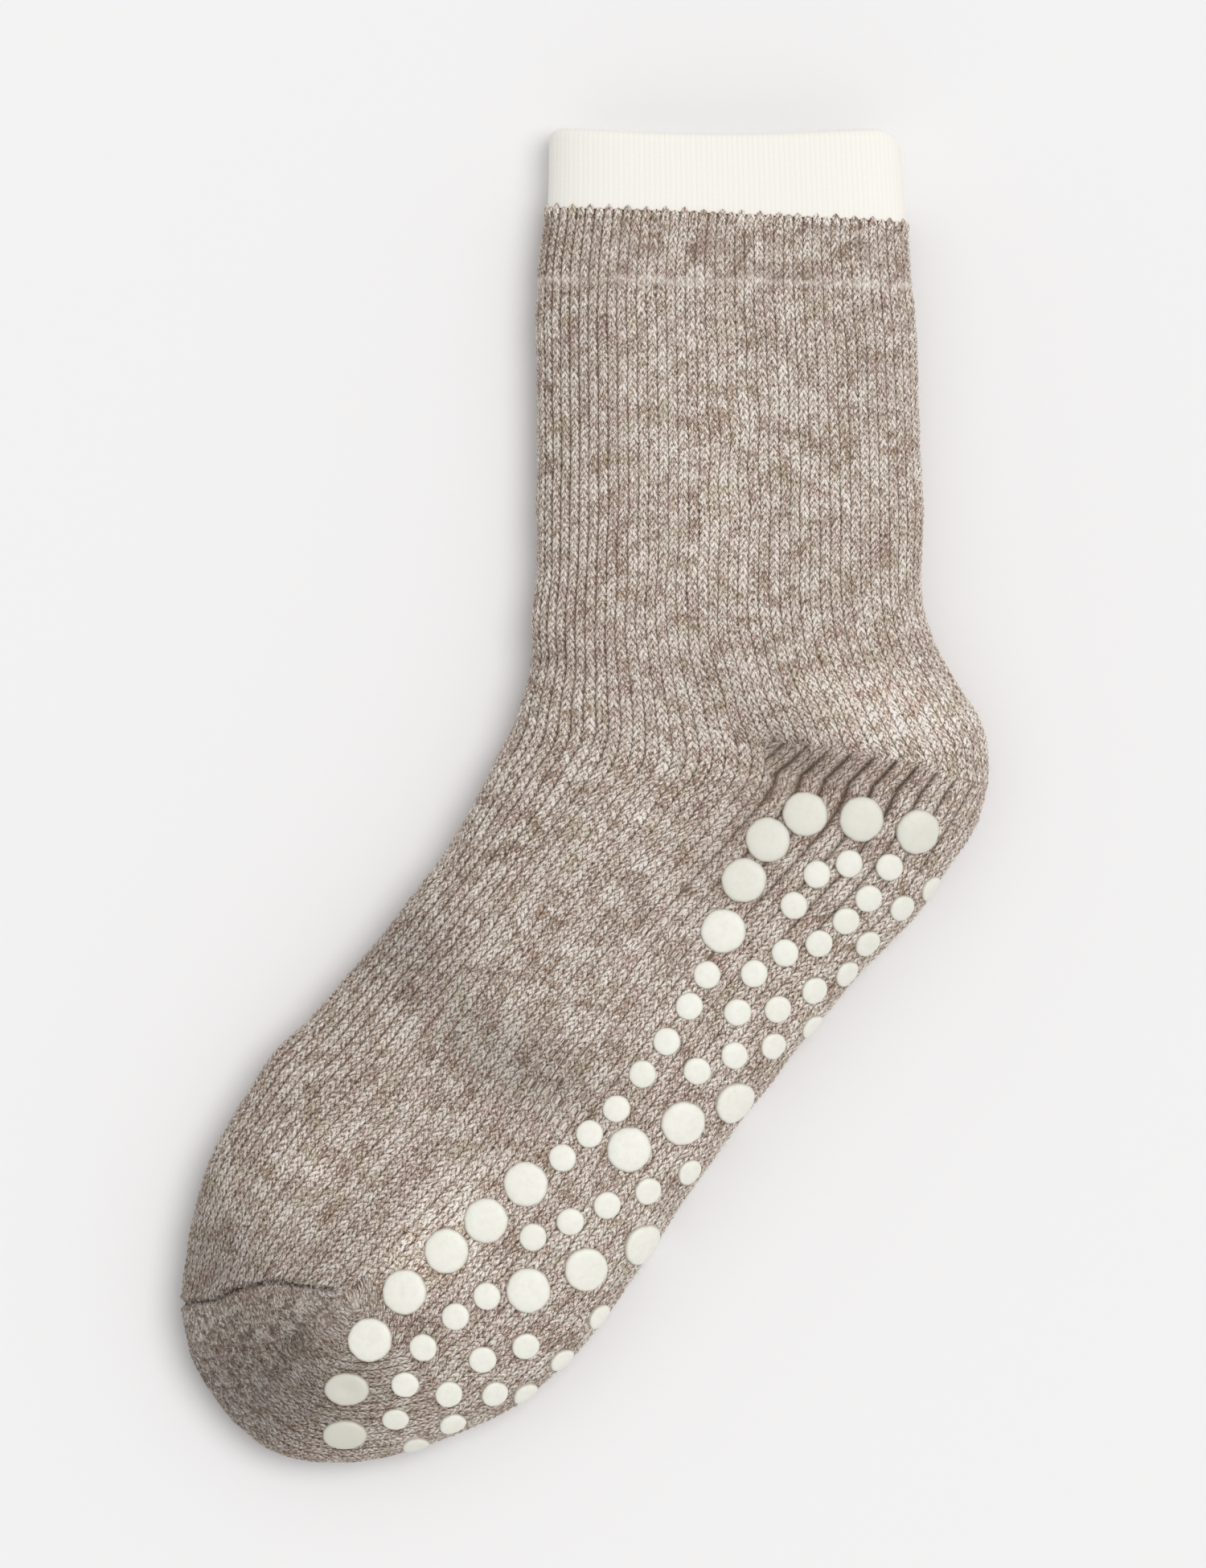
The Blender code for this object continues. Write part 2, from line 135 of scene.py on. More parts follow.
CUFF_FOOT = 1 - CUFF_HEIGHT / LEG_LENGTH
SECTIONS = (
    Section(Part.LEG, 1.000, -0.010, 0.0, 0.915, LEG_WIDTH, 0.00, 0.77, 0.30, 0.30, 0),
    Section(Part.LEG, CUFF_FOOT, -0.005, 2.4, 0.937, LEG_WIDTH, 0.00, 0.78, 0.28, 0.28, 0),
    Section(Part.LEG, 0.760, -0.010, 1.2, 0.967, LEG_WIDTH, 0.00, 0.78, 0.28, 0.28, 0),
    Section(Part.LEG, 0.640, -0.006, 0.0, 0.988, LEG_WIDTH, 0.00, 0.79, 0.28, 0.28, 0),
    Section(Part.LEG, 0.460, 0.000, 0.0, 1.000, LEG_WIDTH, 0.00, 0.81, 0.28, 0.28, 0),
    Section(Part.LEG, 0.290, 0.000, 0.0, 1.002, LEG_WIDTH, 0.00, 0.84, 0.28, 0.28, 0),
    Section(Part.LEG, 0.180, 0.002, 0.4, 1.024, LEG_WIDTH, 0.00, 0.87, 0.28, 0.28, 0),
    Section(Part.LEG, 0.078, 0.034, 1.6, 0.882, HEEL_DIAGONAL, 0.00, 0.90, 0.28, 0.28, 0.2),
    Section(Part.LEG, 0.014, 0.056, 3.0, 0.955, HEEL_DIAGONAL, 0.00, 0.92, 0.28, 0.29, 0.5),
    Section(Part.LEG, -0.043, 0.058, 5.5, 0.990, HEEL_DIAGONAL, 0.00, 0.94, 0.28, 0.30, 0.8),
    Section(Part.LEG, -0.097, 0.037, 8.9, 1.000, HEEL_DIAGONAL, 0.00, 0.95, 0.28, 0.31, 1),
    Section(Part.FOOT, 0.201, -0.014, 11.6, 0.980, HEEL_DIAGONAL, 0.00, 0.96, 0.28, 0.32, 1),
    Section(Part.FOOT, 0.248, 0.000, 15.8, 0.938, HEEL_DIAGONAL, 0.00, 0.97, 0.28, 0.33, 1),
    Section(Part.FOOT, 0.308, 0.001, 20.5, 1.050, INSTEP_DEPTH, 0.00, 0.98, 0.28, 0.34, 1),
    Section(Part.FOOT, 0.378, 0.003, 25.1, 1.000, INSTEP_DEPTH, 0.00, 0.99, 0.28, 0.34, 1),
    Section(Part.FOOT, 0.455, 0.010, 29.4, 0.990, INSTEP_DEPTH, 0.00, 1.00, 0.28, 0.34, 1),
    Section(Part.FOOT, 0.538, 0.013, 33.0, 0.950, BALL_DEPTH, 0.00, 1.00, 0.28, 0.34, 1),
    Section(Part.FOOT, 0.619, 0.023, 36.3, 0.979, BALL_DEPTH, 0.00, 1.00, 0.28, 0.34, 1),
    Section(Part.FOOT, 0.699, 0.022, 41.5, 1.000, BALL_DEPTH, 0.00, 0.99, 0.28, 0.35, 1),
    Section(Part.FOOT, 0.777, 0.017, 44.6, 0.958, BALL_DEPTH, 0.00, 0.96, 0.28, 0.36, 1),
    Section(Part.FOOT, 0.838, 0.004, 44.4, 0.864, BALL_DEPTH, 0.00, 0.92, 0.29, 0.36, 1),
    Section(Part.FOOT, 0.890, 0.008, 41.8, 0.737, BALL_DEPTH, 0.01, 0.86, 0.31, 0.36, 1),
    Section(Part.FOOT, 0.936, 0.010, 40.7, 0.587, BALL_DEPTH, 0.03, 0.77, 0.33, 0.36, 0.8),
    Section(Part.FOOT, 0.968, 0.001, 42.5, 0.426, BALL_DEPTH, 0.08, 0.62, 0.36, 0.38, 0.4),
    Section(Part.FOOT, 0.990, -0.008, 44.5, 0.246, BALL_DEPTH, 0.17, 0.39, 0.40, 0.40, 0),
    Section(Part.FOOT, 1.000, -0.011, 45.0, 0.000, BALL_DEPTH, 0.34, 0.00, 0.40, 0.40, 0),
)
GORE_SHARE = 0.84  # where the gore lies between back (0) and sole, 1 being half way
HEEL_ROW = 9.6  # where along the table the point of the heel lies
BALL_START = 18  # the row from which the toe narrows
FIRST_FOOT_ROW = 13  # the row at which the heel's fullness is gone
LAST_LEG_ROW = 6  # the last row before the heel's fullness begins


def place(part: Part, along: float, aside: float) -> Array:
    """A point of the lying plane.

    Args:
        part: the frame the shares are measured in.
        along: share of the leg's or foot's length.
        aside: share of the leg's width or the ball's depth.

    Returns:
        The point as two numbers.
    """
    if part is Part.LEG:
        return np.array([aside * LEG_WIDTH, along * LEG_LENGTH])
    return FOOT_START + FOOT_WAY * (along * FOOT_LENGTH) + FOOT_ACROSS * (aside * BALL_DEPTH)


def smooth(x: Array | float, low: float, high: float) -> Array:
    """A soft step from 0 at low to 1 at high."""
    t = np.clip((np.asarray(x) - low) / (high - low), 0.0, 1.0)
    return t * t * (3 - 2 * t)


PHASES = 6.28  # how far random phases reach, a full turn
WAVES = 7
WAVE_SIZES = (0.7, 1.5)  # shares of the noise's size


def unit(v: Array) -> Array:
    """Vectors of length one."""
    return v / np.maximum(np.linalg.norm(v, axis=-1, keepdims=True), 1e-12)


class Loft:
    """The sock's tube through its sections, by distance from the collar."""

    def __init__(self, rows: Sequence[Section], shift: Array) -> None:
        """Args:
        rows: the sections, from collar to toe.
        shift: moves the loft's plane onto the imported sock.
        """
        self.shift = shift
        self.readings = np.array([self._reading(row, shift) for row in rows])
        steps = np.diff(self.readings[:, :4], axis=0)
        mean = 0.5 * (np.hypot(steps[:, 0], steps[:, 1]) + np.hypot(steps[:, 2], steps[:, 3]))
        self.stops = np.concatenate([[0.0], np.cumsum(mean)])
        n = len(rows)
        before, after = np.maximum(np.arange(n) - 1, 0), np.minimum(np.arange(n) + 1, n - 1)
        span = (self.stops[after] - self.stops[before])[:, None]
        self.slopes = (self.readings[after] - self.readings[before]) / span

    @staticmethod
    def _reading(row: Section, shift: Array) -> list[float]:
        """What the loft reads off a row of the table.

        Args:
            row: the row.
            shift: moves the loft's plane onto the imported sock.

        Returns:
            Both edges, base, thickness, two rounds and lift.
        """
        middle = place(row.part, row.along, row.aside) + shift
        turn = math.radians(row.turn)
        half = np.array([math.cos(turn), -math.sin(turn)]) * (0.5 * row.width * row.of)
        sizes = [row.base * LAY_HEIGHT, row.lay * LAY_HEIGHT, row.instep_round, row.sole_round, row.lift]
        return [*(middle - half), *(middle + half), *sizes]

    def at(self, distance: Array) -> Array:
        """Readings between the rows of the table.

        Args:
            distance: distances from the collar.

        Returns:
            One row of readings for each distance.
        """
        last = len(self.stops) - 2
        i = np.clip(np.searchsorted(self.stops, distance, side="right") - 1, 0, last)
        span = (self.stops[i + 1] - self.stops[i])[:, None]
        t = (distance - self.stops[i])[:, None] / span
        start, end = 2 * t**3 - 3 * t**2 + 1, 3 * t**2 - 2 * t**3
        leave, arrive = (t**3 - 2 * t**2 + t) * span, (t**3 - t**2) * span
        near = start * self.readings[i] + leave * self.slopes[i]
        return near + end * self.readings[i + 1] + arrive * self.slopes[i + 1]

    def row_distance(self, row: float) -> float:
        """Distance of a place between two rows of the table."""
        return float(np.interp(row, np.arange(len(self.stops)), self.stops))

    def sides(self, distance: Array, fine: int = 120) -> tuple["Side", "Side"]:
        """The upper and lower halves of the rings, each from the instep fold to the sole fold.

        Args:
            distance: where the rings lie.
            fine: points across the top of a ring.

        Returns:
            The upper side and the under side.
        """
        r = self.at(distance)
        instep, sole = r[:, 0:2], r[:, 2:4]
        middle, across = 0.5 * (instep + sole), 0.5 * (sole - instep)
        half = np.linalg.norm(across, axis=1)
        way = across / np.maximum(half, 1e-9)[:, None]
        base, lay = np.maximum(r[:, 4], 0.0), np.maximum(r[:, 5], 1e-6)
        side, lift = WIDEST_LEVEL * lay, r[:, 8]
        rise = lay - side
        x = -np.cos(np.linspace(0, math.pi, fine + 1))[None, :]
        full = np.where(x > 0, r[:, 7:8], r[:, 6:7])
        power = np.maximum(2.0, 2 * half[:, None] * full * lay[:, None] / rise[:, None] ** 2)
        top = side[:, None] + rise[:, None] * np.sqrt(np.maximum(1 - np.abs(x) ** power, 0))
        upper = Side(middle, way, half[:, None] * x, base[:, None] + top)
        corner = np.minimum(UNDER_ROUND * lay, UNDER_ROUND_MOST * half)
        flat, held = (half - corner)[:, None], np.minimum(lift * SOLE_LIFT, side)[:, None]
        turn = np.linspace(0, 0.5 * math.pi, fine // 5)[None, :]
        u = np.linspace(-1, 1, fine // 2)[None, 1:-1]
        c, s = corner[:, None], side[:, None]
        ones = np.ones_like(flat)
        low = [s * (1 - np.sin(turn)), held * smooth(u, LIFT_START, LIFT_END) * ones]
        low.append((s - (s - held) * np.cos(turn)))
        out = [-flat - c * np.cos(turn), flat * u, flat + c * np.sin(turn)]
        under = Side(middle, way, np.concatenate(out, axis=1), base[:, None] + np.concatenate(low, axis=1))
        return upper, under


@dataclass
class Side:
    """One half of the rings: middles, ways across, and dense points from the instep fold to the sole fold."""

    middle: Array
    way: Array
    across: Array
    up: Array

    def lengths(self) -> Array:
        """Running length along each ring."""
        step = np.hypot(np.diff(self.across, axis=1), np.diff(self.up, axis=1))
        return np.concatenate([np.zeros((len(step), 1)), np.cumsum(step, axis=1)], axis=1)

    def points(self, shares: Array) -> Array:
        """Points at shares of the ring's length.

        Args:
            shares: one row of shares for each ring.

        Returns:
            Rings of points in space.
        """
        run = self.lengths()
        out = np.empty((*shares.shape, 3))
        for i, want in enumerate(shares):
            at = want * run[i, -1]
            out[i, :, 0:2] = self.middle[i] + self.way[i] * np.interp(at, run[i], self.across[i])[:, None]
            out[i, :, 2] = np.interp(at, run[i], self.up[i])
        return out


class Path:
    """A line in the plane, to measure from."""

    def __init__(self, points: Array) -> None:
        """Args:
        points: the line's corners in order.
        """
        self.points = points
        self.steps = np.diff(points, axis=0)
        self.length = np.linalg.norm(self.steps, axis=1)
        self.run = np.concatenate([[0.0], np.cumsum(self.length)])

    def turned(self, run: Array, even: float = 0.008) -> Array:
        """How far the line has turned at distances along it, evened out.

        Args:
            run: distances along the line.
            even: the length over which the turn is evened out.

        Returns:
            Radians, growing as the line bends towards its inner side.
        """
        angle = np.unwrap(np.arctan2(self.steps[:, 1], self.steps[:, 0]))
        middle = 0.5 * (self.run[1:] + self.run[:-1])
        fine = np.arange(0, self.run[-1], 0.001)
        wide = int(even / 0.001)
        dense = np.pad(np.interp(fine, middle, angle), wide, mode="edge")
        kernel = np.hanning(2 * wide + 1)
        dense = np.convolve(dense, kernel / kernel.sum(), mode="valid")
        return np.interp(run, fine, dense[0] - dense)

    def nearest(self, p: Array) -> tuple[Array, Array]:
        """How far points lie from the line, and how far along it.

        Args:
            p: points, any shape with two numbers last.

        Returns:
            Distances to the line and distances along it.
        """
        flat = p.reshape(-1, 2)
        gap, along = np.empty(len(flat)), np.empty(len(flat))
        for start in range(0, len(flat), 20000):
            q = flat[start : start + 20000, None, :] - self.points[None, :-1]
            t = np.clip((q * self.steps).sum(-1) / np.maximum(self.length**2, 1e-15), 0, 1)
            d = np.linalg.norm(q - t[..., None] * self.steps, axis=-1)
            best = d.argmin(axis=1)
            row = np.arange(len(best))
            gap[start : start + 20000] = d[row, best]
            along[start : start + 20000] = self.run[best] + t[row, best] * self.length[best]
        return gap.reshape(p.shape[:-1]), along.reshape(p.shape[:-1])


def stitch_height(w: Array, c: Array, bend: Array) -> Array:
    """Relief of plain knit, 0 in the gaps and 1 on the legs of the stitches.

    Args:
        w: place across, in columns of stitches.
        c: place along, in rows of stitches, at the sole's fold.
        bend: rows that each column loses on its way, where the columns turn.

    Returns:
        The relief at each place.
    """
    x = 2 * np.abs(w - np.floor(w) - 0.5)
    c = c - bend * (HALF_WALES - 0.5 - np.floor(w)) + STAGGER * np.sin(STAGGER_TURN * np.floor(w))
    y = c - LEAN * x
    leg = np.abs(np.sin(math.pi * (y - np.floor(y)))) ** LEG_ROUND
    arch = np.sin(math.pi * (ARCH_START + ARCH_SPAN * x))
    return arch * (LEG_FLOOR + (1 - LEG_FLOOR) * leg)


def round_ring(upper: Array, under: Array) -> Array:
    """Both sides as one closed ring, from the sole fold over the top and back under."""
    return np.concatenate([upper[:, ::-1], under[:, 1:-1]], axis=1)


def soft_noise(p: Array, size: float, seed: int) -> Array:
    """A smooth random field from crossed waves, about -1 to 1.

    Args:
        p: points.
        size: rough size of a wave.
        seed: which field.

    Returns:
        The field at each point.
    """
    rng = np.random.default_rng(seed)
    total = np.zeros(p.shape[:-1])
    for _ in range(WAVES):
        way = unit(rng.normal(size=p.shape[-1]))
        steps = (p @ way) * (2 * math.pi / (size * rng.uniform(*WAVE_SIZES)))
        total += np.sin(steps + rng.uniform(0, PHASES))
    return total / (0.5 * WAVES)


class Crease(NamedTuple):
    """A soft trough (deep over 0) or ridge (under 0) through points given as shares of the leg or foot."""

    part: Part
    line: tuple[tuple[float, float], ...]
    deep: float
    wide: float


CREASES = (
    Crease(Part.LEG, ((0.02, -0.02), (-0.03, 0.17), (-0.055, 0.33)), 0.0009, 0.0045),
    Crease(Part.LEG, ((-0.03, -0.60), (-0.06, -0.43), (-0.07, -0.22)), 0.0006, 0.0070),
    Crease(Part.LEG, ((0.42, -0.40), (0.36, -0.20), (0.34, 0.02)), 0.0004, 0.0080),
    Crease(Part.FOOT, ((0.40, -0.46), (0.44, -0.25), (0.46, -0.05)), 0.0005, 0.0070),
    Crease(Part.FOOT, ((0.62, -0.42), (0.63, -0.22), (0.66, -0.05)), 0.0004, 0.0080),
    Crease(Part.FOOT, ((0.865, -0.01), (0.889, -0.025), (0.905, -0.045)), 0.0011, 0.0030),
)


class Swell(NamedTuple):
    """A soft hollow (deep and tone over 0) or swell (under 0) of the slack knit. Its tone is painted shade
    over 0 and painted highlight under 0.
    """

    along: float  # of the leg's length, from the ankle
    aside: float  # of the leg's width
    long: float
    wide: float
    turn: float  # of its long way, in degrees from the photo's right
    deep: float
    # painted shade over 0, painted highlight under 0
    tone: float


# Their tone is painted shade over 0 and painted highlight under 0; where deep is 0 it is painted light alone
SWELLS = (
    Swell(0.025, 0.417, 0.0150, 0.0072, -20, -0.0008, -0.95),
    Swell(-0.045, 0.157, 0.0110, 0.0042, -28, 0.0010, 0.55),
    Swell(-0.384, -0.850, 0.0130, 0.0110, 0, 0.0005, 0.52),
    Swell(-0.470, -0.700, 0.0110, 0.0090, -50, 0.0003, 0.26),
    Swell(-0.585, -0.540, 0.0200, 0.0095, -24, 0.0008, 0.62),
    Swell(-0.752, -1.078, 0.0110, 0.0090, 0, -0.0006, -0.35),
    Swell(-0.869, -0.758, 0.0135, 0.0080, 40, -0.0008, -0.95),
    Swell(-1.125, -1.190, 0.0250, 0.0215, 0, 0.0000, 0.95),
    Swell(-0.895, -1.337, 0.0100, 0.0140, 10, 0.0000, 0.48),
    Swell(-1.045, -1.130, 0.0034, 0.0024, 25, 0.0006, 0.45),
    Swell(0.106, -0.460, 0.0070, 0.0032, -8, 0.0007, 0.40),
    Swell(0.030, -0.120, 0.0220, 0.0180, 0, 0.0000, 0.14),
    Swell(0.445, -0.021, 0.0060, 0.0220, 0, -0.0003, -0.25),
    Swell(0.62, 0.36, 0.0080, 0.0120, 0, 0.0003, 0.12),
    Swell(0.62, -0.40, 0.0050, 0.0200, 0, 0.0004, 0.15),
)
# The linked seam over the toe, as shares of the foot's length and the ball's depth
TOE_SEAM = (
    (0.950, -0.300), (0.937, -0.273), (0.913, -0.223), (0.893, -0.202), (0.877, -0.177), (0.858, -0.138),
    (0.846, -0.087), (0.835, -0.046), (0.823, -0.006),
)
SEAM_ROLL = 0.0010  # how far the linked seam sinks
SEAM_WIDTH = 0.0006
SEAM_BULGE = 0.35  # how far the knit beside it rises, as a share of the roll
SEAM_BULGE_AT = 2.2  # in widths of the seam
SEAM_BULGE_WIDTH = 1.3


def swell_share(swell: Swell, p: Array) -> Array:
    """How strongly a swell shows.

    Args:
        swell: the swell.
        p: points of the loft's plane.

    Returns:
        Shares from 0 to 1.
    """
    off = p - place(Part.LEG, swell.along, swell.aside)
    turn = math.radians(swell.turn)
    run = off @ np.array([math.cos(turn), math.sin(turn)]) / swell.long
    side = off @ np.array([-math.sin(turn), math.cos(turn)]) / swell.wide
    return np.exp(-(run**2 + side**2))


@dataclass(frozen=True)
class MarkPlaces:
    """Where the knit's marks rise and fade. Spans are distances in metres, or shares where that is said."""

    heel_row: float = HEEL_ROW + 1.5  # middle of the heel's ribs, in rows of the table
    heel_reach: float = 0.052  # how far along the tube they reach to either side
    rib_start: Span = Span(0.0, 0.002)  # past the gore
    rib_thinner: Span = Span(0.008, 0.022)
    rib_loss: float = 0.45  # share of their depth that is lost there
    rib_end: Span = Span(0.024, 0.052)
    rib_inner: Span = Span(0.050, 0.066)  # from the sole fold
    rib_fold: Span = Span(0.002, 0.009)
    rib_full: Span = Span(0.008, 0.028)
    rib_outer: float = 0.5  # share of their depth beside the fold
    rib_deep: Span = Span(0.018, 0.042)
    deep_outer: float = 0.20
    rib_border: Span = Span(-0.02, 0.03)  # across the ring, in shares of it
    deep_border: Span = Span(-0.10, 0.03)
    edge_fade: Span = Span(0.010, 0.036)  # from the instep fold
    edge_end: Span = Span(0.70, 0.90)  # along the foot, in shares of its length
    foot_early: Span = Span(0.10, 0.40)
    foot_late: Span = Span(0.55, 0.85)
    foot_share: float = 0.25  # how much of the foot's shade comes early
    foot_aside: Span = Span(-0.1, 0.3)  # aside, in shares of the ball's depth
    foot_loss: float = 0.4
    seam_end: Span = Span(-0.02, 0.02)
    pocket_end: Span = Span(-0.06, 0.14)
    pocket_rise: Span = Span(-0.0010, 0.0030)  # below the toe seam
    seam_off: float = 0.01  # a distance at which the seam no longer shows
    # the hem's ridge, which carries a painted highlight
    hem_drop: float = 0.0022  # how far the hem shows below where it ends
    hem_wander: float = 0.0004
    hem_waves: float = 0.02
    hem_width: float = 0.0009
    band_end: Span = Span(-0.0008, 0.0004)  # below the hem


@dataclass
class StitchMap:
    """Counts the columns and rows of stitches over the upper side of the rings, which the under side mirrors.

    Leg and instep count the rows along each column on its own, so that stitches keep their size round the
    ankle. Past the gore, the sole half is counted from the sole's fold and on round the toe.
    """

    loft: Loft
    distance: Array
    upper: Side
    per_wale: int
    dense: int = 161
    reach: float = 0.12
    lead: float = 0.0075
    wander: float = 0.0028  # how far the columns stray, as a share of the ring
    wander_size: float = 0.016
    middle_span: Span = Span(0.4, 0.62)  # where the middle wale may lie
    blur: float = 0.018  # how far its way is smoothed
    course_wander: float = 0.22  # how far the rows stray, in rows
    course_size: float = 0.014
    even: float = 0.03  # how far the columns are evened out
    ball_row: float = 16.0  # the row of the table at which both counts meet
    places: MarkPlaces = MarkPlaces()
    share: Array = field(init=False)
    front_course: Array = field(init=False)
    rear_wale: Array = field(init=False)
    rear_course: Array = field(init=False)
    pocket: Array = field(init=False)
    past_gore: Array = field(init=False)
    rear_bend: Array = field(init=False)
    masks: dict[str, Array] = field(init=False)

    def __post_init__(self) -> None:
        """Lay the columns and count."""
        share = np.linspace(0, 1, self.dense)
        total = self.upper.lengths()[:, -1]
        spread = (share[None, :] - 0.5) * total[:, None]
        plane = self.upper.middle[:, None, :] + self.upper.way[:, None, :] * spread[..., None]
        rows = np.broadcast_to(share, plane.shape[:2])
        seen = self.upper.points(rows)[..., :2]
        below, seam_gap = self._seam(seen)
        corners = self._corners()
        left_end = int(np.linalg.norm(seen[:, 0] - corners[1], axis=1).argmin())
        right_end = int(np.linalg.norm(seen[:, self.dense // 2] - corners[-1], axis=1).argmin())
        back, sole, tip = self._paths(plane, left_end)
        back_gap, _ = back.nearest(plane)
        sole_gap, sole_run = sole.nearest(plane)
        tip_gap, tip_run = tip.nearest(plane)
        gap = np.minimum(back_gap, sole_gap)
        border = self._border(gap, total, share, right_end)
        size = np.array([np.interp(b, share, g) for b, g in zip(border, gap)]) * 2 / HALF_WALES
        size[right_end:] = size[right_end]
        border, size = border[:, None], size[:, None]
        plain = HALF_WALES - gap / size
        toe = smooth(self.distance, self._row(BALL_START - 1), self.distance[right_end])[:, None]
        lead = np.where(rows < border, 0.5 * HALF_WALES * rows / border, np.maximum(plain, 0.5 * HALF_WALES))
        lead = lead * (1 - toe) + rows * HALF_WALES * toe
        lead = np.maximum.accumulate(lead + rows * 1e-6, axis=1)
        want = np.arange(HALF_WALES * self.per_wale + 1) / self.per_wale
        self.share = np.array([np.interp(want, row, share) for row in lead])
        level = self.share * 0 + self.distance[:, None]
        wander = self.wander * soft_noise(np.stack([self.share * 0.1, level], -1), self.wander_size, 8)
        self.share = np.sort(self.share + wander * np.sin(math.pi * self.share), axis=1)
        self.share = (1 - self.even) * self.share + self.even * np.linspace(0, 1, len(want))
        self.share[:, 0], self.share[:, -1] = 0.0, 1.0
        points = self.upper.points(self.share)
        middles = points[:, self.per_wale // 2 :: self.per_wale]
        steps = np.linalg.norm(np.diff(middles, axis=0), axis=-1)
        self.front_course = np.concatenate([np.zeros((1, HALF_WALES)), np.cumsum(steps, axis=0)]) / COURSE
        middle = int(np.searchsorted(self.distance, self._row(self.ball_row)))
        offset = self.front_course[middle, HALF_WALES // 2] - sole_run[middle, self.dense // 2] / COURSE
        course = np.where(below, tip_run, sole_run) / COURSE + offset
        course = course + self.course_wander * soft_noise(plane, self.course_size, 9)
        stray = soft_noise(middles[..., :2], self.course_size, 9)
        self.front_course = self.front_course + self.course_wander * stray
        self.rear_wale = self._picked(HALF_WALES - np.where(below, tip_gap, sole_gap) / size)
        self.rear_course = self._picked(course)
        bend = np.where(below, tip.turned(tip_run), sole.turned(sole_run)) * size / COURSE
        self.rear_bend = self._picked(bend)
        self.pocket = self._picked(below.astype(float)) > 0.5
        past = back_gap - GORE_SHARE * sole_gap
        self.past_gore = self._picked(past) > 0
        self.masks = self._masks(seen, rows * total[:, None], past, sole_gap, below, seam_gap)
        self.masks["ribs"] *= smooth(self.share - border, *self.places.rib_border)
        self.masks["deep_ribs"] *= smooth(self.share - border, *self.places.deep_border)

    def _masks(self, seen: Array, instep: Array, past: Array, sole: Array,
               below: Array, seam: Array) -> dict[str, Array]:
        """Where the knit's own features lie.

        Args:
            seen: points as seen from above.
            instep: distance from the instep fold.
            past: distance past the gore.
            sole: distance from the sole fold.
            below: what lies below the toe seam.
            seam: distance from the toe seam.

        Returns:
            Values at the columns, by name.
        """
        at = self.places
        heel = np.exp(-(((self.distance - self._row(at.heel_row)) / at.heel_reach) ** 4))[:, None]
        ribs = heel * smooth(past, *at.rib_start) * (1 - at.rib_loss * smooth(past, *at.rib_thinner))
        ribs = ribs * (1 - smooth(past, *at.rib_end)) * (1 - smooth(sole, *at.rib_inner))
        ribs = ribs * smooth(sole, *at.rib_fold)
        ribs = ribs * (at.rib_outer + (1 - at.rib_outer) * smooth(sole, *at.rib_full))
        along = (seen - (FOOT_START + self.loft.shift)) @ FOOT_WAY / FOOT_LENGTH
        aside = (seen - (FOOT_START + self.loft.shift)) @ FOOT_ACROSS / BALL_DEPTH
        # painted shade and highlight of the swells
        tone = sum(s.tone * swell_share(s, seen - self.loft.shift) for s in SWELLS)
        signed = np.where(below, seam, -seam)
        hem = (self.distance - self.loft.stops[1] - CUFF_HEM - at.hem_drop)[:, None]
        hem = hem + at.hem_wander * soft_noise(seen, at.hem_waves, 12)
        foot = at.foot_share * smooth(along, *at.foot_early)
        foot = foot + (1 - at.foot_share) * smooth(along, *at.foot_late)
        masks = {
            "ribs": ribs,
            "edge": (1 - smooth(instep, *at.edge_fade)) * (1 - smooth(along, *at.edge_end)),
            "seam": seam + at.seam_off * smooth(aside, *at.seam_end),
            "pocket": smooth(signed, *at.pocket_rise) * (1 - smooth(aside, *at.pocket_end)),
            "tone": np.clip(tone, -1.0, 1.0),
            # where painted shade darkens the heel's ribs
            "deep_ribs": ribs * (at.deep_outer + (1 - at.deep_outer) * smooth(sole, *at.rib_deep)),
            "hem": np.exp(-((hem / at.hem_width) ** 2)),
            "band": 1 - smooth(hem, *at.band_end),
            "foot": foot * (1 - at.foot_loss * smooth(aside, *at.foot_aside)),
        }
        return {name: self._picked(values) for name, values in masks.items()}

    def _row(self, row: float) -> float:
        """Distance of a place in the table of sections."""
        return self.loft.row_distance(row)

    def _corners(self) -> Array:
        """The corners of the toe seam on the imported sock."""
        return np.array([place(Part.FOOT, *p) for p in TOE_SEAM]) + self.loft.shift

    def _paths(self, plane: Array, left_end: int) -> tuple[Path, Path, Path]:
        """The folds that the back half follows.

        Args:
            plane: the rings' points, laid flat.
            left_end: the ring that carries the left end of the toe seam.

        Returns:
            Lines down the leg, along the sole, and on round the toe.
        """
        fold, instep = plane[:, -1], plane[:, 0]
        step = int(self.lead / (self.distance[1] - self.distance[0]))
        heel = int(np.searchsorted(self.distance, self._row(HEEL_ROW)))
        up, on = heel - step, heel + step
        down = unit(fold[up] - fold[up - step])
        back = np.vstack([fold[:up:6], fold[up], fold[up] + down * self.reach])
        ahead = unit(fold[on + step] - fold[on])
        sole = np.vstack([fold[on] - ahead * self.reach, fold[on::6]])
        tip = np.vstack([sole, instep[-1:left_end:-6]])
        return Path(back), Path(sole), Path(tip)

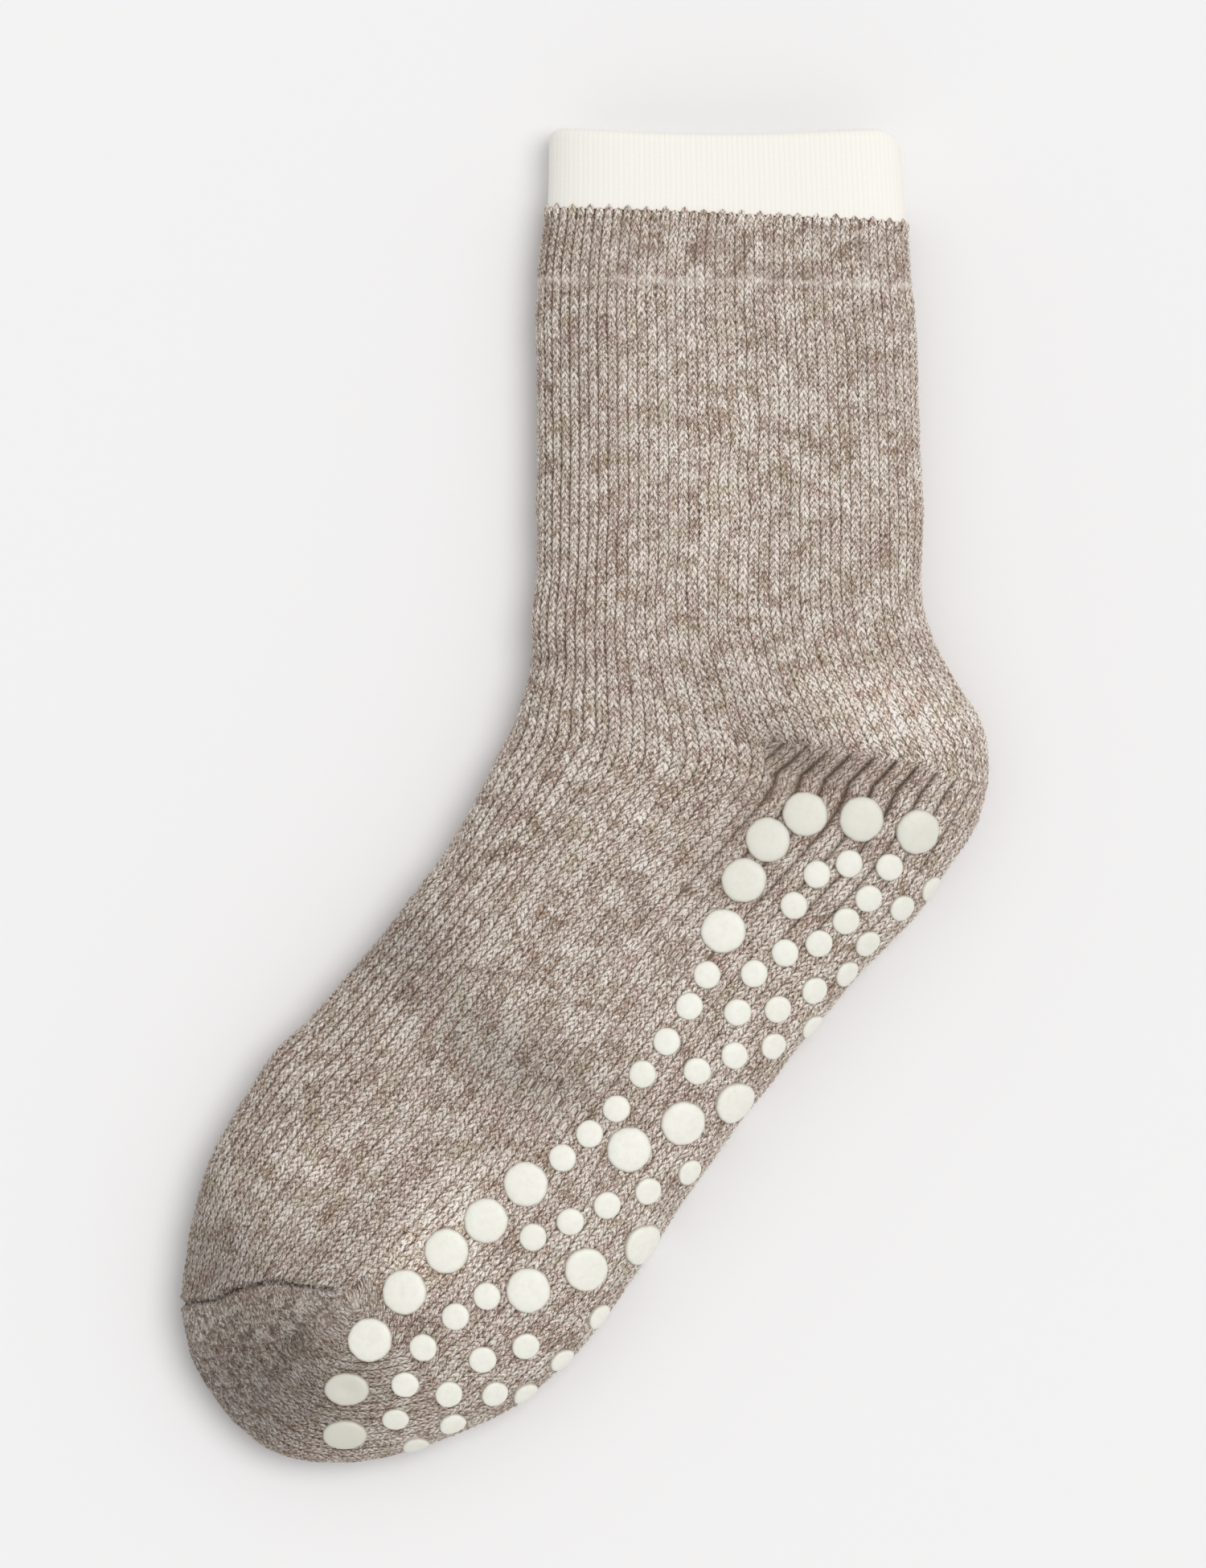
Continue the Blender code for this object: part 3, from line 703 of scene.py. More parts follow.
    def _border(self, gap: Array, total: Array, share: Array, end: int) -> Array:
        """Where the instep's columns meet those counted from the back, evened out along the tube.

        Args:
            gap: distance from the folds at the back.
            total: length of each ring's upper side.
            share: the places across at which the gap is known.
            end: the ring at which the foot ends.

        Returns:
            A share of the ring for each ring.
        """
        low, high = self._row(LAST_LEG_ROW), self._row(FIRST_FOOT_ROW + 2)
        a, b = np.interp([low, high], self.distance, total) / HALF_WALES
        eased = np.interp(self.distance, [low, high], [a, b])
        size = np.where(self.distance > low, eased, total / HALF_WALES)
        start = self.dense // 4
        falling = np.minimum.accumulate(gap[:, start:], axis=1)
        want = 0.5 * HALF_WALES * size
        raw = np.array([np.interp(-g, -row, share[start:]) for g, row in zip(want, falling)])
        toe = smooth(self.distance, self._row(self.ball_row), self.distance[end])
        raw = np.clip(raw, *self.middle_span) * (1 - toe) + 0.5 * toe
        wide = int(self.blur / (self.distance[1] - self.distance[0]))
        padded = np.pad(raw, wide, mode="edge")
        kernel = np.hanning(2 * wide + 1)
        return np.convolve(padded, kernel / kernel.sum(), mode="valid")

    def _seam(self, seen: Array) -> tuple[Array, Array]:
        """Where the toe seam lies.

        Args:
            seen: points as seen from above.

        Returns:
            Which points lie below the seam, and how far off it is.
        """
        corners = self._corners()
        gap, _ = Path(corners).nearest(seen)
        level = np.interp(seen[..., 0], corners[:, 0], corners[:, 1])
        return seen[..., 1] < level, gap

    def _picked(self, values: Array) -> Array:
        """A field at the columns.

        Args:
            values: the field at the even places across.

        Returns:
            The field at the columns of each ring.
        """
        dense = np.linspace(0, 1, self.dense)
        return np.array([np.interp(s, dense, v) for s, v in zip(self.share, values)])

    def corners(self, rows: Array) -> Array:
        """Stitch counts at the corners of the faces between rows, in the order that quads() gives.

        Args:
            rows: numbers of the rows.

        Returns:
            Column count, row count and bend at the four corners of each face.
        """
        half = HALF_WALES * self.per_wale
        ring = np.arange(2 * half)
        a, b = np.abs(half - ring)[None, :], np.abs(half - (ring + 1) % (2 * half))[None, :]
        face = np.minimum(a, b)
        here, there = rows[:-1, None], rows[1:, None]
        front = ((2 * face < half) | ~self.past_gore[here, face]) & ~self.pocket[here, face]

        def at(row: Array, column: Array) -> Array:
            """The counts at one corner of every face.

            Args:
                row: its row on the grid.
                column: its column.

            Returns:
                Wale, course and bend.
            """
            wale = np.where(front, column / self.per_wale, self.rear_wale[row, column])
            own = self.front_course[row, face // self.per_wale]
            course = np.where(front, own, self.rear_course[row, column])
            return np.stack([wale, course, np.where(front, 0.0, self.rear_bend[row, column])], axis=-1)

        return np.stack([at(here, a), at(here, b), at(there, b), at(there, a)], axis=2).reshape(-1, 4, 3)

    def points(self) -> tuple[Array, Array, Array]:
        """The counts at the grid's own corner points.

        Returns:
            Column count, row count and bend, as rings.
        """
        half = HALF_WALES * self.per_wale
        column = np.arange(half + 1)[None, :]
        front = ((2 * column < half) | ~self.past_gore) & ~self.pocket
        wale = np.where(front, column / self.per_wale, self.rear_wale)
        own = self.front_course[:, np.minimum(column[0] // self.per_wale, HALF_WALES - 1)]
        course = np.where(front, own, self.rear_course)
        bend = np.where(front, 0.0, self.rear_bend)
        return round_ring(wale, wale), round_ring(course, course), round_ring(bend, bend)


@dataclass
class Knit:
    """The knitted tube as one fine grid of rows and columns, with its stitches counted."""

    loft: Loft
    per_wale: int = 4
    row_step: float = COURSE / 4
    relief: float = 0.00064
    mean_height: float = 0.62  # the relief at which the knit lies in the loft's own surface
    toe_loss: float = 0.45  # how much flatter the felted toe is
    rib_depth: float = 0.0009
    rib_power: float = 7.0
    edge_depth: float = 0.00032  # of the grooves by the instep fold
    band_rise: float = 0.00030  # of what lies over the cuff's inner leaf
    hem_rise: float = 0.00015
    slack: float = 0.00035  # of the broad, soft unevenness
    slack_size: float = 0.030
    ruffle: float = 0.00012  # of the finer one
    ruffle_size: float = 0.008
    above_from: float = 0.4  # from this share of a ring's height on, it is seen from above
    tip_length: float = 0.0035
    inner_gap: float = 0.0002  # keeps the knit clear of the inner leaf
    points: Array = field(init=False)
    normals: Array = field(init=False)
    base: Array = field(init=False)
    inner: Array = field(init=False)
    wale: Array = field(init=False)
    course: Array = field(init=False)
    bend: Array = field(init=False)
    masks: dict[str, Array] = field(init=False)
    distance: Array = field(init=False)
    stitches: StitchMap = field(init=False)

    def __post_init__(self) -> None:
        """Work out the grid."""
        loft = self.loft
        start, end = loft.stops[1], loft.stops[-1]
        body = np.arange(start, end - self.tip_length, self.row_step)
        tip = end - self.tip_length * (1 - np.linspace(0, 1, 12)[1:-1]) ** 1.6
        self.distance = np.concatenate([body, tip])
        upper, under = loft.sides(self.distance)
        stitches = StitchMap(loft, self.distance, upper, self.per_wale)
        ring = round_ring(upper.points(stitches.share), under.points(stitches.share))
        self.stitches = stitches
        self.masks = {name: round_ring(values, values) for name, values in stitches.masks.items()}
        self.wale, self.course, self.bend = stitches.points()
        smooth_normals = self._normals(ring)
        self.inner = ring - smooth_normals * (WALL - self.inner_gap)
        self.points = self._dressed(ring, smooth_normals)
        self.normals = self._normals(self.points)

    @staticmethod
    def _normals(grid: Array) -> Array:
        """Outward normals of a grid that closes on itself.

        Args:
            grid: rings of points.

        Returns:
            A normal for each point.
        """
        round_way = np.roll(grid, -1, axis=1) - np.roll(grid, 1, axis=1)
        along = np.gradient(grid, axis=0)
        n = unit(np.cross(round_way, along))
        return n if float((n[:, : grid.shape[1] // 4, 2]).mean()) > 0 else -n

    def _dressed(self, ring: Array, normal: Array) -> Array:
        """The grid with stitches, ribs, gore, seam and creases. Notes the surface without stitches as base.

        Args:
            ring: rings of points on the loft.
            normal: their outward normals.

        Returns:
            The dressed rings.
        """
        m = self.masks
        height = stitch_height(self.wale, self.course, self.bend) - self.mean_height
        lift = self.relief * (1 - self.toe_loss * m["pocket"]) * height
        groove = 1 - np.abs(np.sin(math.pi * self.wale)) ** LEG_ROUND
        lift -= self.edge_depth * m["edge"] * groove
        every_other = np.abs(np.cos(0.5 * math.pi * self.wale)) ** self.rib_power
        lift -= self.rib_depth * m["ribs"] * every_other
        lift += self.band_rise * m["band"] + self.hem_rise * m["hem"]
        pull = np.exp(-((m["seam"] / SEAM_WIDTH) ** 2))
        beside = m["seam"] - SEAM_BULGE_AT * SEAM_WIDTH
        bulge = np.exp(-((beside / (SEAM_BULGE_WIDTH * SEAM_WIDTH)) ** 2))
        lift += -SEAM_ROLL * pull + SEAM_BULGE * SEAM_ROLL * bulge
        shift = self.loft.shift
        above = ring[..., 2] > self.above_from * ring[..., 2].max(axis=1, keepdims=True)
        broad = above * self.slack * soft_noise(ring, self.slack_size, 3)
        for crease in CREASES:
            line = Path(np.array([place(crease.part, *p) + shift for p in crease.line]))
            gap, _ = line.nearest(ring[..., :2])
            broad -= above * crease.deep * np.exp(-((gap / crease.wide) ** 2))
        for swell in SWELLS:
            broad -= above * swell.deep * swell_share(swell, ring[..., :2] - shift)
        self.base = ring + normal * broad[..., None]
        lift += broad + self.ruffle * soft_noise(ring, self.ruffle_size, 5)
        out = ring + normal * lift[..., None]
        out[..., 2] = np.maximum(out[..., 2], FLOOR_GAP)
        return out


def new_mesh(name: str, points: Array, faces: Sequence[Array]) -> bpy.types.Mesh:
    """A mesh from arrays.

    Args:
        name: its name.
        points: corners.
        faces: arrays of quads or triangles.

    Returns:
        The mesh, shaded smooth.
    """
    mesh = bpy.data.meshes.new(name)
    mesh.vertices.add(len(points))
    mesh.vertices.foreach_set("co", np.asarray(points, dtype=np.float32).ravel())
    loops = np.concatenate([f.ravel() for f in faces])
    sizes = np.concatenate([np.full(len(f), f.shape[1]) for f in faces])
    mesh.loops.add(len(loops))
    mesh.loops.foreach_set("vertex_index", loops.astype(np.int32))
    mesh.polygons.add(len(sizes))
    starts = np.concatenate([[0], np.cumsum(sizes)[:-1]])
    mesh.polygons.foreach_set("loop_start", starts.astype(np.int32))
    mesh.update(calc_edges=True)
    mesh.validate()
    mesh.shade_smooth()
    return mesh


def add_uv(mesh: bpy.types.Mesh, values: Array, faces: Array | None = None) -> None:
    """A UV map.

    Args:
        mesh: the mesh.
        values: two numbers for each corner point.
        faces: two numbers for each corner of the first faces, where these have their own.
    """
    layer = mesh.uv_layers.new(name="knit")
    index = np.empty(len(mesh.loops), dtype=np.int32)
    mesh.loops.foreach_get("vertex_index", index)
    flat = values[index]
    if faces is not None:
        flat[: len(faces)] = faces
    layer.data.foreach_set("uv", flat.astype(np.float32).ravel())


def add_value(mesh: bpy.types.Mesh, name: str, values: Array) -> None:
    """A number for each corner point, under a name that a material reads."""
    layer = mesh.attributes.new(name, "FLOAT", "POINT")
    layer.data.foreach_set("value", values.astype(np.float32))


def new_object(name: str, mesh: bpy.types.Mesh, material: Material) -> Object:
    """An object at the origin with one material.

    Args:
        name: its name.
        mesh: its mesh.
        material: its finish.

    Returns:
        The object, in the scene.
    """
    mesh.materials.append(material)
    piece = bpy.data.objects.new(name, mesh)
    bpy.context.scene.collection.objects.link(piece)
    return piece


def quads(rows: int, columns: int, start: int = 0, flip: bool = False, closed: bool = True) -> Array:
    """Faces of a grid of rows and columns.

    Args:
        rows: rows of corner points.
        columns: columns of corner points.
        start: number of the first corner point.
        flip: turns the faces over.
        closed: joins the last column to the first.

    Returns:
        Quads as rows of four numbers.
    """
    span = columns if closed else columns - 1
    r, c = np.meshgrid(np.arange(rows - 1), np.arange(span), indexing="ij")
    n = (c + 1) % columns
    a, b = r * columns + c, r * columns + n
    d, e = (r + 1) * columns + n, (r + 1) * columns + c
    faces = np.stack([a, b, d, e], axis=-1).reshape(-1, 4) + start
    return faces[:, ::-1] if flip else faces


Socket = bpy.types.NodeSocket


class Maths:
    """Short ways to write the sums of a node tree."""

    def __init__(self, tree: bpy.types.NodeTree) -> None:
        """Args:
        tree: the node tree that gets the nodes.
        """
        self.tree = tree

    def node(self, kind: str, **settings: object) -> bpy.types.Node:
        """A new node.

        Args:
            kind: its type.
            settings: what is set on it, by name.

        Returns:
            The node.
        """
        made = self.tree.nodes.new(kind)
        for name, value in settings.items():
            setattr(made, name, value)
        return made

    def put(self, socket: Socket, value: object) -> None:
        """Link a socket, or set its number.

        Args:
            socket: the socket.
            value: another socket, or the number.
        """
        if isinstance(value, Socket):
            self.tree.links.new(value, socket)
        else:
            socket.default_value = value

    def fed(self, made: bpy.types.Node, *values: object) -> Socket:
        """A node's first output.

        Args:
            made: the node.
            values: what feeds its inputs, in their order.

        Returns:
            The output.
        """
        for socket, value in zip(made.inputs, values):
            self.put(socket, value)
        return made.outputs[0]

    def do(self, operation: str, *values: object) -> Socket:
        """The result of a maths node."""
        return self.fed(self.node("ShaderNodeMath", operation=operation), *values)

    def times(self, a: object, b: object) -> Socket:
        """One value by another."""
        return self.do("MULTIPLY", a, b)

    def plus(self, a: object, b: object) -> Socket:
        """Two values together."""
        return self.do("ADD", a, b)

    def line(self, value: object, slope: object, start: object) -> Socket:
        """A value by a slope, from a start."""
        return self.do("MULTIPLY_ADD", value, slope, start)

    def remap(
        self, value: object, low: float, high: float, to_low: float = 0.0, to_high: float = 1.0
    ) -> Socket:
        """A soft step between two values.

        Args:
            value: what is stepped.
            low: where the step starts.
            high: where it ends.
            to_low: the result before it.
            to_high: the result after it.

        Returns:
            The step.
        """
        made = self.node("ShaderNodeMapRange", interpolation_type="SMOOTHSTEP")
        return self.fed(made, value, low, high, to_low, to_high)

    def noise(
        self, vector: object, scale: float, detail: float = 2.0, rough: float = 0.5
    ) -> Socket:
        """A noise.

        Args:
            vector: where it is read.
            scale: how fine it is.
            detail: how many finer layers it has.
            rough: how strong these are.

        Returns:
            Values between 0 and 1.
        """
        inputs = {"Vector": vector, "Scale": scale, "Detail": detail, "Roughness": rough}
        return self.wired(self.node("ShaderNodeTexNoise"), inputs).outputs["Fac"]

    def speck(self, vector: object) -> Socket:
        """A random value for each whole number vector."""
        made = self.node("ShaderNodeTexWhiteNoise", noise_dimensions="3D")
        return self.wired(made, {"Vector": vector}).outputs["Value"]

    def vector(self, x: object, y: object, z: object = 0.0) -> Socket:
        """Three values as a vector."""
        return self.fed(self.node("ShaderNodeCombineXYZ"), x, y, z)

    def wired(self, made: bpy.types.Node, inputs: dict[str, object]) -> bpy.types.Node:
        """A node with its named inputs linked or set."""
        for name, value in inputs.items():
            self.put(made.inputs[name], value)
        return made

    def on_vectors(self, operation: str, vector: object, other: tuple) -> Socket:
        """The result of a vector maths node on a vector and three plain numbers."""
        made = self.node("ShaderNodeVectorMath", operation=operation)
        return self.fed(made, vector, other)

    def scaled(self, vector: object, scale: object) -> Socket:
        """A vector or colour, made longer or brighter."""
        made = self.node("ShaderNodeVectorMath", operation="SCALE")
        return self.fed(self.wired(made, {"Scale": scale}), vector)

    def wave(self, kind: str, at: object, turns: float, power: float) -> Socket:
        """Rounded ridges: a sine or cosine without its sign, raised to a power.

        Args:
            kind: SINE or COSINE.
            at: where on the wave.
            turns: half turns for each step of that.
            power: over 1 for sharp ridges, under 1 for blunt ones.

        Returns:
            Values between 0 and 1.
        """
        height = self.do(kind, self.do("MULTIPLY", at, turns * math.pi))
        return self.do("POWER", self.do("ABSOLUTE", height), power)

    def blend(self, share: object, a: object, b: object) -> Socket:
        """A mix of two colours.

        Args:
            share: how much of the second shows.
            a: the first.
            b: the second.

        Returns:
            The mixed colour.
        """
        made = self.node("ShaderNodeMix", data_type="RGBA")
        for name, value in zip((0, 6, 7), (share, a, b)):
            self.put(made.inputs[name], value)
        return made.outputs[2]

    def tint(self, body: object, colour: object, *shares: object) -> Socket:
        """A colour laid over another.

        Args:
            body: the colour below.
            colour: the colour on top.
            shares: numbers whose product says how much of it shows.

        Returns:
            The mixed colour.
        """
        total = shares[0]
        for share in shares[1:]:
            total = self.do("MULTIPLY", total, share)
        return self.blend(total, body, colour)

    def bump(self, shader: bpy.types.Node, height: object, strength: float, distance: float) -> None:
        """Give a shader fine relief.

        Args:
            shader: the shader.
            height: the relief, 0 to 1.
            strength: how strongly it shows.
            distance: its height in metres.
        """
        inputs = {"Strength": strength, "Distance": distance, "Height": height}
        self.put(shader.inputs["Normal"], self.wired(self.node("ShaderNodeBump"), inputs).outputs[0])

    def value(self, name: str) -> Socket:
        """A number stored on the piece."""
        return self.node("ShaderNodeAttribute", attribute_name=name).outputs["Fac"]

    def stitches(self) -> tuple[Socket, Socket]:
        """The piece's own UV: columns and rows of stitches."""
        parts = self.node("ShaderNodeSeparateXYZ")
        self.put(parts.inputs[0], self.node("ShaderNodeUVMap", uv_map="knit").outputs[0])
        return parts.outputs[0], parts.outputs[1]

    def place(self) -> Socket:
        """Where on the piece a point lies."""
        return self.node("ShaderNodeTexCoord").outputs["Object"]


def new_finish(name: str, shine: dict[str, object]) -> tuple[Material, Maths, bpy.types.Node]:
    """A finish with the plain values of its shader set.

    Args:
        name: its name.
        shine: the values, by the names of the shader's sockets.

    Returns:
        The material, a way to write its sums, and its shader.
    """
    material = bpy.data.materials.new(name)
    material.use_nodes = True
    shader = material.node_tree.nodes["Principled BSDF"]
    for socket, value in shine.items():
        shader.inputs[socket].default_value = value
    return material, Maths(material.node_tree), shader


def srgb(red: int, green: int, blue: int) -> tuple[float, float, float, float]:
    """A screen colour as the light values that a shader takes.

    Args:
        red: 0 to 255.
        green: 0 to 255.
        blue: 0 to 255.

    Returns:
        Red, green, blue and a full alpha.
    """
    levels = (level / 255 for level in (red, green, blue))
    return (*(v / 12.92 if v <= 0.04045 else ((v + 0.055) / 1.055) ** 2.4 for v in levels), 1.0)


class Grain(NamedTuple):
    """A noise: how fine it is, how many finer layers it has, and how strong these are."""

    scale: float
    detail: float
    rough: float


class Patch(NamedTuple):
    """Soft patches of one shade in the marl."""

    colour: tuple
    scale: float
    seed: float
    low: float
    most: float


@dataclass(frozen=True)
class HeatherYarn:
    """The beige marl of the sock, with the marks that the pieces carry, and painted shade and highlight."""

    dark: tuple = srgb(177, 154, 138)
    middle: tuple = srgb(230, 214, 199)
    light: tuple = srgb(248, 238, 227)
    fibre: tuple = srgb(252, 244, 237)
    # painted shade in the holes between stitches; also the toe seam's dark line
    gap: tuple = srgb(58, 46, 38)
    # dark fibres of the marl; also painted shade over the heel's ribs and the darker blotches of the band
    deep: tuple = srgb(126, 102, 86)
    shadow: tuple = srgb(84, 66, 52)
    brightest: tuple = (0.96, 0.94, 0.92)
    cloud: Grain = Grain(190.0, 5.0, 0.72)
    cloud_span: Span = Span(0.25, 0.75)
    cloud_share: float = 0.42
    tone_start: float = 0.07
    leg_share: float = 0.34  # of what single legs of stitches differ by
    pair_share: float = 0.12
    to_middle: Span = Span(0.22, 0.58)
    to_light: Span = Span(0.46, 0.78)
    patches: tuple[Patch, ...] = (
        Patch(srgb(168, 140, 115), 205.0, 0.31, 0.51, 0.85),
        Patch(srgb(192, 181, 150), 170.0, 0.57, 0.51, 0.65),
        Patch(srgb(200, 170, 162), 120.0, 0.83, 0.48, 0.70),
        Patch(srgb(126, 102, 86), 260.0, 0.11, 0.55, 0.70),
    )
    patch_span: float = 0.22
    patch_pair: float = 0.06
    patch_again: float = 0.26  # the first two shade the single fibres too
    hair: Grain = Grain(1.0, 3.0, 0.65)
    bump: tuple[float, float] = (0.9, 0.00035)  # strength and depth
    hair_lean: tuple[float, float, float] = (1.15, 0.75, 1.1)
    hair_fine: float = 3.4
    hair_long: float = 1.5
    hair_lane: float = 3.1
    hair_cloud: float = 0.15
    hair_relief: float = 0.6
    pale_hair: Span = Span(0.52, 0.61)
    dark_hair: Span = Span(0.49, 0.39)
    dark_hair_share: float = 0.95
    grit: tuple[float, float] = (5.2, 3.9)
    # painted shade in the holes between stitches: where it shows and how strongly
    holes: Span = Span(0.78, 0.16)
    hole_shade_share: float = 0.90
    felted: float = 0.45  # how far the toe's holes are closed
    rib_power: float = 9.0
    rib_share: float = 0.95
    # painted shade over the heel's ribs
    pit_share: float = 0.34
    groove_power: float = 7.0
    groove_share: float = 0.50
    broken: Grain = Grain(480.0, 3.0, 0.5)
    broken_span: Span = Span(0.38, 0.58)
    broken_least: float = 0.25
    stain: Grain = Grain(160.0, 3.0, 0.6)
    stain_span: Span = Span(0.46, 0.62)
    stain_share: float = 0.34
    # painted highlight along the hem's ridge: weaker where the band is darker, and patchy
    hem_stained: float = 0.6
    hem_highlight_grain: Grain = Grain(95.0, 2.0, 0.5)
    hem_span: Span = Span(0.35, 0.60)
    hem_least: float = 0.45
    hem_share: float = 0.46
    fluff: Grain = Grain(780.0, 4.0, 0.75)
    dusk: Span = Span(0.46, 0.60)
    dusk_share: float = 0.66
    bloom: Span = Span(0.46, 0.36)
    bloom_share: float = 0.30
    # painted shade of hollows, and painted highlight on swells
    dark_tint: float = 0.14
    dark_loss: float = 0.38
    foot_loss: float = 0.18
    pocket_loss: float = 0.02
    light_gain: float = 0.44
    ragged: Grain = Grain(1100.0, 3.0, 0.7)
    ragged_reach: float = 0.0030
    seam_span: Span = Span(0.0007, 0.0001)
    heavy: Grain = Grain(330.0, 2.0, 0.5)
    heavy_span: Span = Span(0.40, 0.60)
    seam_least: float = 0.62
    seam_more: float = 0.35

    def build(self) -> Material:
        """The finish, laid out in stitches by the piece's own UV.

        Returns:
            The material.
        """
        shine = {"Roughness": 0.92, "Specular IOR Level": 0.2, "Sheen Weight": 0.2, "Sheen Roughness": 0.5}
        material, m, shader = new_finish("heather yarn", shine)
        w, c = m.stitches()
        x = m.times(m.do("ABSOLUTE", m.do("SUBTRACT", m.do("FRACT", w), 0.5)), 2.0)
        whole = m.do("FLOOR", w)
        stagger = m.do("SINE", m.times(whole, STAGGER_TURN))
        c = m.plus(c, m.times(stagger, STAGGER))
        c = m.do("SUBTRACT", c, m.times(m.value("bend"), m.do("SUBTRACT", HALF_WALES - 0.5, whole)))
        y = m.do("SUBTRACT", c, m.times(x, LEAN))
        leg = m.wave("SINE", y, 1.0, LEG_ROUND)
        arch = m.do("SINE", m.line(x, ARCH_SPAN * math.pi, ARCH_START * math.pi))
        relief = m.times(arch, m.line(leg, 1 - LEG_FLOOR, LEG_FLOOR))
        hair = self._hair(m, w, c, x)
        body = self._marl(m, w, m.do("FLOOR", y), hair)
        fine, long = self.grit
        grit = m.noise(m.vector(m.times(w, fine), m.times(y, long)), 1.0, 2.0, 0.6)
        uneven = m.plus(relief, m.line(grit, 1.0, -0.5))
        open_ = m.line(m.value("pocket"), -self.felted, 1.0)
        # Painted shade in the holes between stitches, less in the felted toe
        body = m.tint(body, self.gap, m.remap(uneven, *self.holes), open_, self.hole_shade_share)
        body = self._seam(m, self._shaded(m, self._marks(m, w, body)))
        m.put(shader.inputs["Base Color"], body)
        m.bump(shader, m.plus(relief, m.times(hair, self.hair_relief)), *self.bump)
        return material

    def _hair(self, m: Maths, w: object, c: object, x: object) -> Socket:
        """Fine fibres that run along the legs of the stitches.

        Args:
            m: the material's sums.
            w: columns of stitches.
            c: rows of stitches.
            x: 0 in the middle of a column, 1 at its edges.

        Returns:
            Values between 0 and 1.
        """
        aside, up, run_up = self.hair_lean
        across = m.plus(m.times(x, aside), m.times(c, up))
        run = m.do("SUBTRACT", m.times(c, run_up), x)
        lane = m.times(m.do("FLOOR", m.times(w, 2.0)), self.hair_lane)
        fine, long = m.times(across, self.hair_fine), m.times(run, self.hair_long)
        return m.noise(m.vector(fine, long, lane), *self.hair)

    def _marl(self, m: Maths, w: object, row: object, hair: object) -> Socket:
        """Soft patches, single legs and fibres of differing shade.

        Args:
            m: the material's sums.
            w: columns of stitches.
            row: whole rows of stitches.
            hair: the fine fibres.

        Returns:
            The colour.
        """
        at = m.place()
        each = m.speck(m.vector(m.do("FLOOR", m.times(w, 2.0)), row, 3.0))
        pair = m.speck(m.vector(m.do("FLOOR", m.times(w, 0.5)), row, 9.0))
        cloud = m.noise(at, *self.cloud)
        tone = m.line(m.remap(cloud, *self.cloud_span), self.cloud_share, self.tone_start)
        tone = m.plus(tone, m.times(each, self.leg_share))
        tone = m.plus(tone, m.times(pair, self.pair_share))
        body = m.blend(m.remap(tone, *self.to_middle), self.dark, self.middle)
        body = m.blend(m.remap(tone, *self.to_light), body, self.light)
        shares = []
        for patch in self.patches:
            moved = m.on_vectors("ADD", at, (patch.seed, patch.seed, patch.seed))
            field_ = m.noise(moved, patch.scale, 3.0, 0.7)
            field_ = m.plus(field_, m.line(pair, self.patch_pair, -0.5 * self.patch_pair))
            step = m.remap(field_, patch.low, patch.low + self.patch_span)
            shares.append(m.times(step, patch.most))
        for share, patch in zip(shares, self.patches):
            body = m.blend(share, body, patch.colour)
        hair = m.plus(hair, m.line(cloud, self.hair_cloud, -0.48 * self.hair_cloud))
        body = m.blend(m.remap(hair, *self.pale_hair), body, self.fibre)
        body = m.tint(body, self.deep, m.remap(hair, *self.dark_hair), self.dark_hair_share)
        for share, patch in zip(shares[:2], self.patches):
            body = m.tint(body, patch.colour, share, self.patch_again)
        return body

    def _marks(self, m: Maths, w: object, body: object) -> Socket:
        """Painted shade in the ribs, in the grooves by the instep fold and over the heel's ribs; darker
        blotches on the band; a painted highlight along the hem; dark and pale specks on the felted toe.

        Args:
            m: the material's sums.
            w: columns of stitches.
            body: the colour below.

        Returns:
            The colour with the marks.
        """
        at = m.place()
        rib = m.wave("COSINE", w, 0.5, self.rib_power)
        body = m.tint(body, self.shadow, rib, m.value("ribs"), self.rib_share)
        groove = m.wave("COSINE", w, 1.0, self.groove_power)
        broken = m.remap(m.noise(at, *self.broken), *self.broken_span, self.broken_least, 1.0)
        body = m.tint(body, self.shadow, groove, broken, m.value("edge"), self.groove_share)
        # Painted shade over the heel's ribs
        body = m.tint(body, self.deep, m.value("deep_ribs"), self.pit_share)
        stain = m.remap(m.noise(at, *self.stain), *self.stain_span)
        body = m.tint(body, self.deep, m.value("band"), stain, self.stain_share)
        # Painted highlight along the hem's ridge
        clean = m.line(stain, -self.hem_stained, 1.0)
        painted_light = m.remap(m.noise(at, *self.hem_highlight_grain), *self.hem_span, self.hem_least, 1.0)
        body = m.tint(body, self.light, m.value("hem"), clean, painted_light, self.hem_share)
        fluff = m.noise(at, *self.fluff)
        body = m.tint(body, self.shadow, m.value("pocket"), m.remap(fluff, *self.dusk), self.dusk_share)
        return m.tint(body, self.fibre, m.value("pocket"), m.remap(fluff, *self.bloom), self.bloom_share)

    def _shaded(self, m: Maths, body: object) -> Socket:
        """Painted shade of hollows, painted highlight on swells, and the foot and the toe below its seam made
        darker.

        Args:
            m: the material's sums.
            body: the colour below.

        Returns:
            The shaded colour.
        """
        dark = m.do("MAXIMUM", m.value("tone"), 0.0)
        light = m.do("MAXIMUM", m.times(m.value("tone"), -1.0), 0.0)
        body = m.tint(body, self.shadow, dark, self.dark_tint)
        shade = m.line(dark, -self.dark_loss, 1.0)
        shade = m.line(m.value("foot"), -self.foot_loss, shade)
        shade = m.line(m.value("pocket"), -self.pocket_loss, shade)
        shade = m.line(light, self.light_gain, shade)
        return m.on_vectors("MINIMUM", m.scaled(body, shade), self.brightest)

    def _seam(self, m: Maths, body: object) -> Socket:
        """The dark, ragged line of the toe seam.

        Args:
            m: the material's sums.
            body: the colour below.

        Returns:
            The colour with the seam.
        """
        at = m.place()
        rough = m.line(m.noise(at, *self.ragged), self.ragged_reach, -0.5 * self.ragged_reach)
        line = m.remap(m.plus(m.value("seam"), rough), *self.seam_span)
        heavy = m.remap(m.noise(at, *self.heavy), *self.heavy_span)
        return m.tint(body, self.gap, line, m.line(heavy, self.seam_more, self.seam_least))


